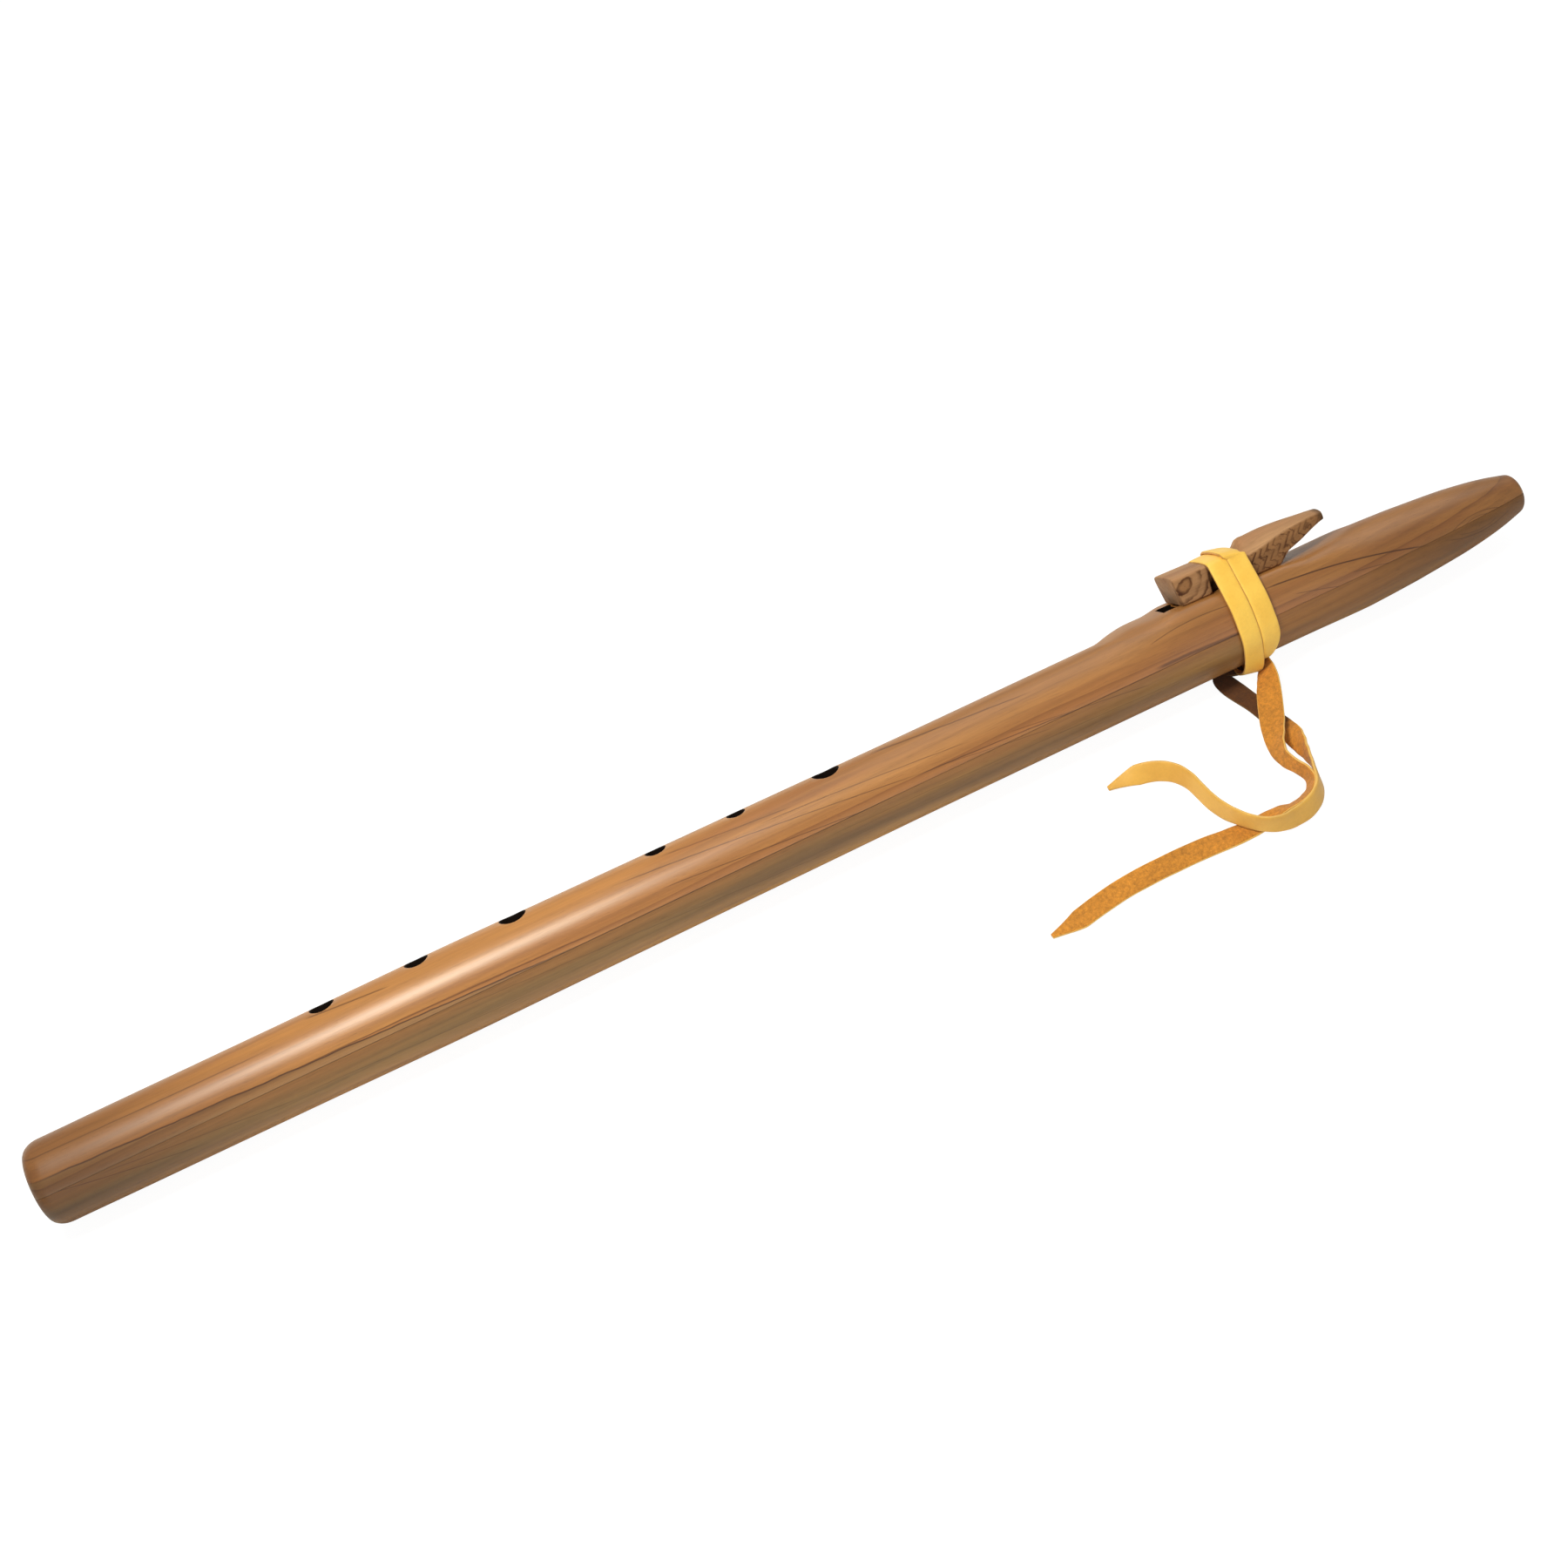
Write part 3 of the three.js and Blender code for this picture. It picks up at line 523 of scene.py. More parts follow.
def add_mesh(mesh: bmesh.types.BMesh, part: bmesh.types.BMesh, finish: int = 0) -> None:
    """Adds a closed part to a mesh, facing outwards and with its own finish, and frees it."""
    bmesh.ops.recalc_face_normals(part, faces=part.faces)
    for face in part.faces:
        face.material_index = finish
    data = bpy.data.meshes.new("part")
    part.to_mesh(data)
    part.free()
    mesh.from_mesh(data)
    bpy.data.meshes.remove(data)


# ---- The block ----


@dataclass
class Block:
    """The carved block: a square front, a saddle for the lace and a tail that rises like a bird's."""

    barrel: Barrel
    front: float = 467.1
    length: float = 67.4
    width: float = 18.0
    height: float = 14.8
    front_heights: Row = (11.4, 11.75)
    front_lean: float = 1.3
    saddle_start: float = 15.6
    saddle_end: float = 29.9
    saddle_heights: Row = (10.0, 10.4)
    saddle_waist: float = 0.56
    seat_gap: float = 0.12
    corner: float = 1.5
    tail: tuple[Row, ...] = (
        (0.012, 0, 0.595, 0.77, 1), (0.075, 0, 0.615, 0.956, 1), (0.173, 0, 0.649, 0.98, 1),
        (0.354, 0, 0.743, 1, 0.967), (0.419, 0.11, 0.775, 0.995, 0.94),
        (0.496, 0.25, 0.804, 0.987, 0.911), (0.551, 0.292, 0.822, 0.98, 0.889),
        (0.651, 0.36, 0.845, 0.96, 0.833), (0.819, 0.5, 0.865, 0.919, 0.7),
        (0.9, 0.56, 0.862, 0.905, 0.63), (0.965, 0.6, 0.85, 0.892, 0.58),
        (1, 0.61, 0.843, 0.885, 0.55),
    )

    def section(
        self, x: float, under: float, side: float, crest: float, half: float, waist: float = 1.0,
    ) -> list[Vector]:
        """One section of the block, round from its underside over the crest.

        Args:
            x: place along the flute.
            under: height of the underside over the nest.
            side: height of the side's upper edge.
            crest: height of the middle.
            half: half the width.
            waist: share of the width that is left low on the sides.

        Returns:
            The section's points, with eased corners.
        """
        seat = self.barrel.nest_plane(x) + self.seat_gap
        low = min(self.corner * 0.35, (side - under) * 0.3)
        high = min(self.corner, (side - under) * 0.4)
        slim = half * waist
        outline = [(-slim + low, under), (slim - low, under), (slim, under + low)]
        outline += [(slim, under + (side - under) * 0.5), (half, side - high)]
        outline += [(half - 0.3 * high, side - 0.3 * high)]
        count = 9
        for index in range(count):
            across = 1 - 2 * index / (count - 1)
            reach = half - high * 0.95
            outline.append((reach * across, side + (crest - side) * (1 - across * across)))
        outline += [(-half + 0.3 * high, side - 0.3 * high), (-half, side - high)]
        outline += [(-slim, under + (side - under) * 0.5), (-slim, under + low)]
        return [Vector((x, y, seat + z)) for y, z in outline]

    def sections(self) -> list[list[Vector]]:
        """All sections from the front face to the tail's tip."""
        half = self.width / 2
        side, crest = self.front_heights
        saddle_side, saddle_crest = self.saddle_heights
        rings = []
        for ease, at in ((0.55, 0.0), (0.15, 0.25), (0.0, 0.8)):
            ring = self.section(self.front + at, 0, side - ease, crest - ease, half - ease * 0.7)
            seat = self.barrel.nest_plane(self.front)
            for point in ring:
                point.x += self.front_lean * max(0.0, 1 - (point.z - seat) / side)
            rings.append(ring)
        wall = self.saddle_start - 0.5
        for at in between(3.0, wall - 2.0, 3.0):
            rings.append(self.section(self.front + at, 0, side, crest, half))
        for ease, at in ((0.0, wall - 0.5), (0.3, wall)):
            ring = self.section(self.front + at, 0, side - ease, crest - ease, half - ease)
            seat = self.barrel.nest_plane(self.front + at)
            for point in ring:
                point.x -= self.front_lean * max(0.0, 1 - (point.z - seat) / side)
            rings.append(ring)
        saddle = [self.saddle_start, *between(self.saddle_start + 2, self.saddle_end - 1, 4.0)]
        for at in (*saddle, self.saddle_end):
            rings.append(self.section(
                self.front + at, 0, saddle_side, saddle_crest, half - 0.05, self.saddle_waist,
            ))
        reach = self.length - self.saddle_end - 0.3
        columns = [[(row[0], row[c]) for row in self.tail] for c in range(1, 5)]
        shares = [0.012, 0.04, 0.075, 0.12, 0.173, 0.23, 0.29, 0.353, 0.38, 0.4, 0.419, 0.455]
        shares += [0.496, 0.551, 0.6, 0.651, 0.7, 0.76, 0.819, 0.86, 0.9, 0.935, 0.965, 0.985, 1.0]
        for share in shares:
            under, top, crest, wide = (smooth_table(column, share) for column in columns)
            under = max(0.0, under) if share > 0.354 else 0.0
            rings.append(self.section(
                self.front + self.saddle_end + 0.3 + share * reach, self.height * under,
                self.height * top, self.height * crest, half * wide,
            ))
        return rings

    def build(self, finish: bpy.types.Material) -> bpy.types.Object:
        """Builds the block in place of its plain solid.

        Args:
            finish: its material.

        Returns:
            The block.
        """
        mesh = fresh_mesh()
        sweep(mesh, self.sections())
        ends = [edge for edge in mesh.edges if edge.calc_face_angle(0.0) > math.radians(55)]
        bmesh.ops.bevel(
            mesh, geom=ends, offset=0.35, offset_type="OFFSET", affect="EDGES", segments=2,
            profile=0.5, material=-1, clamp_overlap=True,
        )
        made = make_piece("totem_block_wood", mesh, LIE.flute())
        made.data.materials.append(finish)
        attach(made, "block_and_tie")
        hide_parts("totem_block")
        LOG.info("%s: %d faces", made.name, len(made.data.polygons))
        return made


# ---- The lace ----


@dataclass(frozen=True)
class Strap:
    """The flat leather lace: its section, and how uneven its hand-cut edges are."""

    width: float = 8.05
    thickness: float = 1.3
    edge_waver: float = 0.018
    across_steps: int = 8
    round_steps: int = 3

    def ring(self, centre: Vector, across: Vector, up: Vector, share: float, run: float) -> list[Vector]:
        """One section of the lace.

        Args:
            centre: its middle.
            across: unit direction of its width.
            up: unit direction of its thickness.
            share: share of the full width.
            run: distance along the lace, which the waver of the edges follows.

        Returns:
            Points round the section, from its near edge over the upper face and back underneath.
        """
        half = self.width * share / 2
        thick = self.thickness / 2
        wavers = [1 + 2 * self.edge_waver * noise.noise(Vector((run * 0.11, k, 4.2))) for k in (1.7, 8.3)]
        points = []
        for face in (1, -1):
            for step in range(self.across_steps + 1):
                place = face * (1 - 2 * step / self.across_steps)
                reach = half * place * wavers[place < 0] * (1 - 0.07 * abs(place) ** 6)
                fall = thick * (1 - 0.22 * abs(place) ** 5)
                points.append(centre + across * reach + up * (face * fall))
            for step in range(1, self.round_steps):
                turn = math.pi * step / self.round_steps
                reach = -face * half * (0.935 + 0.065 * math.sin(turn)) * wavers[face > 0]
                points.append(centre + across * reach + up * (face * thick * 0.78 * math.cos(turn)))
        return points


@dataclass
class Winding:
    """The lace's two taut turns round the barrel and over the block's saddle."""

    barrel: Barrel
    block: Block
    strap: Strap
    clearance: float = 0.62
    turn_gap: float = 0.55
    turns: Row = (486.325, 494.925)
    crossing_lift: float = 1.85
    loop_steps: int = 24
    fine_steps: int = 5
    ends: Row = (182.0, 878.0)
    pinch: Row = (2.35, 0.87, 12.0)
    snug: float = 0.6
    loose_lift: float = 2.6

    def outward(self, degrees: float) -> Vector:
        """Direction across the barrel at an angle from the block side, round by the near side."""
        angle = math.radians(degrees)
        return Vector((0.0, -math.sin(angle), math.cos(angle)))

    def furthest(self, degrees: float, x: float) -> Vector:
        """The point of the barrel and saddle that the taut lace bears on in a direction."""
        direction = self.outward(degrees)
        if direction.z <= 0:
            return direction * self.barrel.outer(x)
        half = self.block.width / 2
        points = self.block.section(x, 0.0, *self.block.saddle_heights, half)
        points += [self.barrel.surface(x, math.radians(FULL_TURN * k / 96)) for k in range(96)]
        best = max(points, key=lambda point: point.dot(direction))
        return Vector((0.0, best.y, best.z))

    def place(self, degrees: float) -> tuple[float, float]:
        """Place along the barrel and extra lift of the lace: its turns change places at the far side."""
        step = FULL_TURN / self.loop_steps
        lift_start = HALF_TURN + LIE.roll_degrees + step / 2
        start = lift_start + step
        end = start + 3 * step
        leave = smooth_step(degrees, start, end)
        back = smooth_step(degrees - FULL_TURN, start, end)
        rise = smooth_step(degrees - FULL_TURN, lift_start, start)
        fall = smooth_step(degrees - FULL_TURN, end, end + step)
        first, second = self.turns
        return second - (leave - back) * (second - first), self.crossing_lift * (rise - fall)

    def centres(self) -> list[tuple[Vector, Vector, float]]:
        """Middles of the lace's sections along its two turns, with their outward directions."""
        found = []
        step = FULL_TURN / self.loop_steps / self.fine_steps
        first, last = self.ends
        for index in range(round((last - first) / step) + 1):
            degrees = first + index * step
            x, lift = self.place(degrees)
            up = self.outward(degrees)
            centre = self.furthest(degrees, x - self.strap.width / 2)
            centre = centre + up * (self.clearance * 0.8 + self.strap.thickness / 2 + lift)
            centre.x = x
            found.append((centre, up, degrees))
        filled = [found[0]]
        for before, after in zip(found, found[1:]):
            gap = (after[0] - before[0]).length
            for part in range(1, max(1, round(gap / 1.6))):
                share = part / max(1, round(gap / 1.6))
                up = before[1].lerp(after[1], share).normalized()
                filled.append((before[0].lerp(after[0], share), up, before[2] + share * step))
            filled.append(after)
        return filled

    def rings(self) -> list[list[Vector]]:
        """Sections of the winding.

        The last turn overlaps the first on the block and lies snug beside it down the near side. Its
        end narrows and slips under the first turn, which stands off a little there.
        """
        rings = []
        run = 0.0
        previous = None
        last = self.ends[1]
        top = 2 * FULL_TURN
        for centre, up, degrees in self.centres():
            run += 0.0 if previous is None else (centre - previous).length
            previous = centre
            over = smooth_step(degrees, top - 75, top - 35) * (1 - smooth_step(degrees, top + 30, top + 72))
            beside = smooth_step(degrees, top - 75, top - 35) * (1 - over)
            close = smooth_step(degrees, last - 52, last)
            loose = smooth_step(degrees, top - 240, top - 196) * (1 - smooth_step(degrees, top - 182, top - 160))
            shift, rise, lean = self.pinch
            lift = rise * over + self.loose_lift * loose - 0.2 * close
            centre = centre + up * lift
            centre.x -= 0.3 * loose + shift * over + self.snug * beside + 1.7 * close
            share = 1 - 0.36 * close
            across = Vector((1, 0, 0))
            tilt = Matrix.Rotation(math.radians(lean * over - 11 * loose), 3, up.cross(across))
            rings.append(self.strap.ring(centre, tilt @ across, tilt @ up, share, run))
        return rings

    def build(self, finish: bpy.types.Material) -> bpy.types.Object:
        """Builds the winding in place of its plain solid, worn flat where it stands on the table.

        Args:
            finish: its material.

        Returns:
            The winding.
        """
        mesh = fresh_mesh()
        sweep(mesh, self.rings())
        made = make_piece("lace_winding_leather", mesh, LIE.flute())
        for vert in made.data.vertices:
            vert.co.z = max(vert.co.z, 0.0)
        made.data.materials.append(finish)
        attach(made, "block_and_tie")
        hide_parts("lace_winding")
        LOG.info("%s: %d faces", made.name, len(made.data.polygons))
        return made


@dataclass
class Knot:
    """The small hard knot under the near side, with a loop of the lace drawn tight round it."""

    winding: Winding
    angle: float = 170.0
    offset: float = -2.0
    length: float = 4.6
    breadth: float = 5.2
    thickness: float = 2.3

    def build(self, finish: bpy.types.Material) -> bpy.types.Object:
        """Builds the knot in place of its plain solid.

        Args:
            finish: its material.

        Returns:
            The knot.
        """
        barrel = self.winding.barrel
        x = self.winding.turns[1] + self.offset
        out = self.winding.outward(self.angle)
        centre = out * (barrel.outer(x) + self.winding.clearance + self.thickness / 2 - 0.05)
        centre.x = x
        turn = Matrix.Rotation(math.radians(self.angle), 4, "X")
        size = Matrix.Diagonal((self.breadth / 2, self.length / 2, self.thickness / 2, 1.0))
        mesh = fresh_mesh()
        bmesh.ops.create_icosphere(mesh, subdivisions=5, radius=1.0, matrix=Matrix.Identity(4))
        for vert in mesh.verts:
            crease = abs(math.sin(2.3 * vert.co.x + 1.2 * vert.co.y))
            fold = noise.noise(vert.co * 1.7 + Vector((3, 5, 7)))
            vert.co *= 1 - 0.1 * (1 - crease) ** 3 - 0.05 * abs(fold)
        bmesh.ops.transform(mesh, matrix=Matrix.Translation(centre) @ turn @ size, verts=mesh.verts)
        made = make_piece("lace_knot_leather", mesh, LIE.flute())
        made.data.materials.append(finish)
        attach(made, "block_and_tie")
        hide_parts("lace_knot")
        LOG.info("%s: %d faces", made.name, len(made.data.polygons))
        return made


@dataclass
class Tail:
    """A free end of the lace, along its route of [from the knot, across, above the table, lean]."""

    node: str
    strap: Strap
    route: tuple[Row, ...]
    widths: tuple[Row, ...]
    knot_x: float = 494.925
    point_length: float = 12.0
    point_share: float = 0.22
    steps: int = 8

    def curve(self) -> list[tuple[Vector, float]]:
        """Points of the smooth curve through the route, with the lean of each in radians."""
        points = [Vector((self.knot_x + row[0], row[1], row[2])) for row in self.route]
        points = [2 * points[0] - points[1], *points, 2 * points[-1] - points[-2]]
        leans = [math.radians(row[3]) for row in self.route]
        found = []
        for index in range(len(self.route) - 1):
            four = points[index:index + 4]
            spans = [max((b - a).length ** 0.5, 1e-4) for a, b in zip(four, four[1:])]
            for step in range(self.steps):
                share = step / self.steps
                found.append((
                    centripetal(four, spans, share),
                    leans[index] + (leans[index + 1] - leans[index]) * smooth_step(share, 0, 1),
                ))
        found.append((points[-2], leans[-1]))
        return found

    def sections(self) -> tuple[list[list[Vector]], list[Vector]]:
        """Sections of the lace and the middles that they stand on."""
        curve = self.curve()
        length = sum((b[0] - a[0]).length for a, b in zip(curve, curve[1:]))
        rings, middles = [], []
        run = 0.0
        for index, (centre, lean) in enumerate(curve):
            if index:
                run += (centre - curve[index - 1][0]).length
            ahead = curve[min(index + 1, len(curve) - 1)][0] - curve[max(index - 1, 0)][0]
            tangent = ahead.normalized()
            side = Vector((0, 0, 1)).cross(tangent).normalized()
            top = tangent.cross(side)
            across = side * math.cos(lean) + top * math.sin(lean)
            up = tangent.cross(across).normalized()
            left = max(0.0, min(1.0, (length - run) / self.point_length))
            point = self.point_share + (1 - self.point_share) * left
            share = smooth_table(self.widths, run) * point
            ring = self.strap.ring(centre, across, up, share, run)
            for corner in ring:
                corner.z = max(corner.z, 0.02)
            rings.append(ring)
            middles.append(centre)
        return rings, middles

    def build(self, finish: bpy.types.Material) -> bpy.types.Object:
        """Args:
            finish: its material.

        Returns:
            The free end.
        """
        rings, middles = self.sections()
        mesh = fresh_mesh()
        sweep(mesh, rings)
        made = make_piece(f"{self.node}_leather", mesh, LIE.table())
        made.data.materials.append(finish)
        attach(made, "block_and_tie")
        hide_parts(self.node)
        return made


def centripetal(four: Sequence[Vector], spans: Sequence[float], share: float) -> Vector:
    """A point of the centripetal curve through the middle two of four points.

    Args:
        four: the points.
        spans: square roots of the distances between them.
        share: how far along from the second point to the third.

    Returns:
        The point.
    """
    a, b, c, d = four
    before, middle, after = spans
    leave = ((b - a) / before - (c - a) / (before + middle) + (c - b) / middle) * middle
    arrive = ((c - b) / middle - (d - b) / (middle + after) + (d - c) / after) * middle
    square, cube = share ** 2, share ** 3
    return (
        b * (2 * cube - 3 * square + 1) + leave * (cube - 2 * square + share)
        + c * (3 * square - 2 * cube) + arrive * (cube - square)
    )


FRONT_ROUTE: tuple[Row, ...] = (
    (-2.6, -13.1, 4.5, 56), (-3.6, -15.9, 5.5, 48), (-5, -19.4, 6, 38), (-6.8, -23.4, 6, 26),
    (-9.2, -28, 5.6, 14), (-12, -33.4, 4.9, 8), (-15.2, -39.5, 4.4, 12), (-18.4, -46, 4.2, 30),
    (-20.9, -52.3, 4.3, 50), (-21.6, -58.5, 4.4, 68), (-20, -64, 4.4, 80), (-18.6, -69, 4.4, 76),
    (-19.9, -73.6, 4.3, 64), (-24.2, -77, 4.2, 52), (-30.2, -78.4, 3.9, 46),
    (-36.1, -77.5, 2.9, 30), (-41.9, -77.5, 1.2, 8), (-48.4, -77.6, 0.8, 0),
    (-56.9, -77.4, 1.1, -8), (-66.9, -77.1, 1.9, -18), (-79.9, -76.8, 2.1, -21),
    (-92.9, -77, 2.1, -21), (-103.4, -77.8, 2, -19), (-113.3, -79.4, 1.7, -15),
    (-122.9, -81, 1.2, -10), (-132.9, -81.9, 0.9, -4),
)
FRONT_WIDTHS: tuple[Row, ...] = ((0, 0.8), (5, 1.0), (14, 1.16), (30, 1.2), (42, 1.06), (51, 0.88), (60, 0.86), (70, 1.0))
BACK_ROUTE: tuple[Row, ...] = (
    (-9.4, -9.9, 1.35, 4), (-12.9, -8.5, 1, 0), (-16, -6.9, 0.85, 0), (-18.4, -8.3, 0.8, 0),
    (-18.2, -13, 0.8, 0), (-16.5, -20.5, 0.8, 0),
    (-14.5, -28.6, 0.8, 0), (-13.2, -36.5, 0.8, 2), (-12.3, -43.5, 1.5, 14), (-12.3, -49.5, 2.9, 36),
    (-12.8, -55, 3.9, 62), (-13.4, -60, 4.3, 84), (-14.2, -65, 4.4, 98), (-15.6, -70, 4.3, 104),
    (-17.8, -75.9, 4.4, 107), (-22, -80.3, 4.3, 113), (-27.2, -82.8, 4.2, 116),
    (-32.9, -83.9, 4.4, 110), (-38.9, -84.2, 5.3, 98), (-44.4, -82.4, 6.2, 92),
    (-48.7, -78.2, 6.4, 92), (-51.6, -73, 5.9, 96), (-53.6, -67, 4.7, 102), (-54.9, -61, 4.3, 105),
    (-55.6, -54.8, 4.3, 105), (-56.3, -48.5, 4.3, 108), (-58.7, -42.6, 4.2, 114),
    (-63.3, -37.8, 3.8, 124), (-69.3, -34.9, 3, 140), (-75.9, -33.6, 1.9, 160),
    (-82.4, -33.2, 1.1, 174),
)
BACK_WIDTHS: tuple[Row, ...] = ((0, 0.48), (5, 0.5), (9, 0.72), (13, 1.0), (30, 1.0))


# ---- Finishes ----


def srgb(code: str) -> tuple[float, float, float, float]:
    """Linear colour of a six-digit hex code."""
    values = [int(code[i:i + 2], 16) / 255 for i in (0, 2, 4)]
    linear = [v / 12.92 if v <= 0.04045 else ((v + 0.055) / 1.055) ** 2.4 for v in values]
    return (*linear, 1.0)


class Wiring:
    """Adds nodes to one node tree and links them."""

    def __init__(self, tree: bpy.types.NodeTree) -> None:
        """Starts on a tree."""
        self.tree = tree

    def node(self, kind: str, settings: dict | None = None, **inputs) -> bpy.types.Node:
        """Adds one node.

        Args:
            kind: the node's type, without its ShaderNode prefix.
            settings: properties to set on it.
            **inputs: values or sockets for its inputs, by name with _ for a space, or i0, i1 by place.

        Returns:
            The node.
        """
        prefix = "" if kind.startswith("NodeGroup") else "ShaderNode"
        made = self.tree.nodes.new(prefix + kind)
        for name, value in (settings or {}).items():
            setattr(made, name, value)
        for name, value in inputs.items():
            by_place = name[0] == "i" and name[1:].isdigit()
            socket = made.inputs[int(name[1:])] if by_place else made.inputs[name.replace("_", " ")]
            self.feed(socket, value)
        return made

    def feed(self, socket: Socket, value: object) -> None:
        """Links a socket to another, or gives it a value."""
        if isinstance(value, bpy.types.NodeSocket):
            self.tree.links.new(value, socket)
        else:
            socket.default_value = value

    def math(self, operation: str, *values: object) -> Socket:
        """Result of a Math node."""
        inputs = {f"i{i}": value for i, value in enumerate(values)}
        return self.node("Math", {"operation": operation}, **inputs).outputs[0]

    def vector(self, operation: str, *values: object) -> Socket:
        """Vector result of a Vector Math node."""
        inputs = {f"i{i}": value for i, value in enumerate(values)}
        return self.node("VectorMath", {"operation": operation}, **inputs).outputs[0]

    def ease(self, value: Socket, low: float, high: float) -> Socket:
        """Eases a value from 0 at low to 1 at high."""
        settings = {"interpolation_type": "SMOOTHSTEP"}
        return self.node("MapRange", settings, Value=value, From_Min=low, From_Max=high).outputs[0]

    def span(self, value: Socket, low: float, high: float) -> Socket:
        """Maps a value from 0..1 to low..high."""
        return self.node("MapRange", {}, Value=value, To_Min=low, To_Max=high).outputs[0]

    def mix(self, factor: object, a: object, b: object, blend: str = "MIX") -> Socket:
        """Mixes two colours."""
        made = self.tree.nodes.new("ShaderNodeMix")
        made.data_type = "RGBA"
        made.blend_type = blend
        for place, value in ((0, factor), (6, a), (7, b)):
            self.feed(made.inputs[place], value)
        return made.outputs[2]

    def scaled(self, place: Socket, scale: Row) -> Socket:
        """A place with each axis scaled."""
        return self.vector("MULTIPLY", place, scale)

    def noise(self, place: Socket, detail: float = 2.0, rough: float = 0.5) -> Socket:
        """Noise at a place that is already scaled."""
        made = self.node("TexNoise", {}, Vector=place, Scale=1.0, Detail=detail, Roughness=rough)
        return made.outputs[0]


def new_group(name: str, inputs: Sequence[tuple], outputs: Sequence[tuple]) -> tuple:
    """Starts a shader node group.

    Args:
        name: the group's name.
        inputs: (name, socket type, default) of each input; None for no default.
        outputs: (name, socket type) of each output.

    Returns:
        The group, its wiring, its input node and its output node.
    """
    group = bpy.data.node_groups.new(name, "ShaderNodeTree")
    for label, kind, default in inputs:
        socket = group.interface.new_socket(name=label, in_out="INPUT", socket_type=f"NodeSocket{kind}")
        if default is not None:
            socket.default_value = default
    for label, kind in outputs:
        group.interface.new_socket(name=label, in_out="OUTPUT", socket_type=f"NodeSocket{kind}")
    wiring = Wiring(group)
    return group, wiring, wiring.node("NodeGroupInput"), wiring.node("NodeGroupOutput")


def cedar_group() -> bpy.types.NodeTree:
    """Cedar cut from a ringed log: growth rings round a distant pith, fibres, pores and patches."""
    group, w, given, result = new_group(
        "cedar_rings",
        (
            ("Place", "Vector", None), ("Pith", "Vector", None), ("Ring Spacing", "Float", 2.4),
            ("Wander", "Float", 5.0), ("Early Wood", "Color", None), ("Late Wood", "Color", None),
            ("Patch", "Color", None), ("Line Strength", "Float", 0.8), ("Ripple", "Float", 1.5),
        ),
        (("Color", "Color"), ("Height", "Float"), ("Roughness", "Float")),
    )
    place = given.outputs["Place"]
    slow = w.node("TexNoise", {}, Vector=w.scaled(place, (0.0032, 0.016, 0.016)), Scale=1.0, Detail=2.0)
    drift = w.vector("SUBTRACT", slow.outputs[1], (0.5, 0.5, 0.5))
    drift = w.node("VectorMath", {"operation": "SCALE"}, i0=drift, Scale=given.outputs["Wander"]).outputs[0]
    ripple = w.node("TexNoise", {}, Vector=w.scaled(place, (0.02, 0.12, 0.12)), Scale=1.0, Detail=3.0)
    ripple = w.vector("SUBTRACT", ripple.outputs[1], (0.5, 0.5, 0.5))
    ripple = w.node("VectorMath", {"operation": "SCALE"}, i0=ripple, Scale=given.outputs["Ripple"]).outputs[0]
    from_pith = w.vector("SUBTRACT", w.vector("ADD", w.vector("ADD", place, drift), ripple), given.outputs["Pith"])
    flat = w.vector("MULTIPLY", from_pith, (0, 1, 1))
    distance = w.node("VectorMath", {"operation": "LENGTH"}, i0=flat).outputs["Value"]
    rings = w.math("DIVIDE", distance, given.outputs["Ring Spacing"])
    share = w.math("FRACT", rings)
    number = w.math("FLOOR", rings)
    chance = w.node("TexWhiteNoise", {"noise_dimensions": "1D"}, W=number).outputs[0]
    end = w.math("SUBTRACT", 1.0, w.ease(share, 0.95, 1.0))
    late = w.math("MULTIPLY", w.ease(share, 0.45, 0.93), end)
    hair = w.math("MULTIPLY", w.ease(share, 0.8, 0.93), end)
    rare = w.math("POWER", chance, 3.0)
    late = w.math("MULTIPLY", late, w.span(chance, 0.06, 0.42))
    late = w.math("MAXIMUM", late, w.math("MULTIPLY", hair, w.span(rare, 0.1, 1.0)))
    line = w.math("MULTIPLY", late, given.outputs["Line Strength"])
    fibre = w.noise(w.scaled(place, (0.02, 0.6, 0.6)), 5.0, 0.75)
    patch = w.noise(w.scaled(place, (0.006, 0.1, 0.1)), 2.0)
    pores = w.noise(w.scaled(place, (0.16, 3.4, 3.4)), 2.0)
    pores = w.ease(pores, 0.6, 0.72)
    patch = w.math("MULTIPLY_ADD", chance, 0.3, patch)
    colour = w.mix(w.ease(patch, 0.5, 0.8), given.outputs["Early Wood"], given.outputs["Patch"])
    colour = w.mix(line, colour, given.outputs["Late Wood"])
    shade = w.math("ADD", w.span(fibre, 0.62, 1.38), w.span(chance, -0.07, 0.07))
    shade = w.math("SUBTRACT", shade, w.math("MULTIPLY", pores, 0.16))
    colour = w.vector("MULTIPLY", colour, w.node("CombineXYZ", {}, X=shade, Y=shade, Z=shade).outputs[0])
    height = w.math("SUBTRACT", w.math("MULTIPLY", fibre, 0.5), w.math("MULTIPLY", pores, 0.7))
    height = w.math("ADD", height, w.math("MULTIPLY", line, 0.35))
    rough = w.math("ADD", w.span(fibre, -0.06, 0.08), w.math("MULTIPLY", pores, 0.15))
    w.feed(result.inputs["Color"], colour)
    w.feed(result.inputs["Height"], height)
    w.feed(result.inputs["Roughness"], rough)
    return group


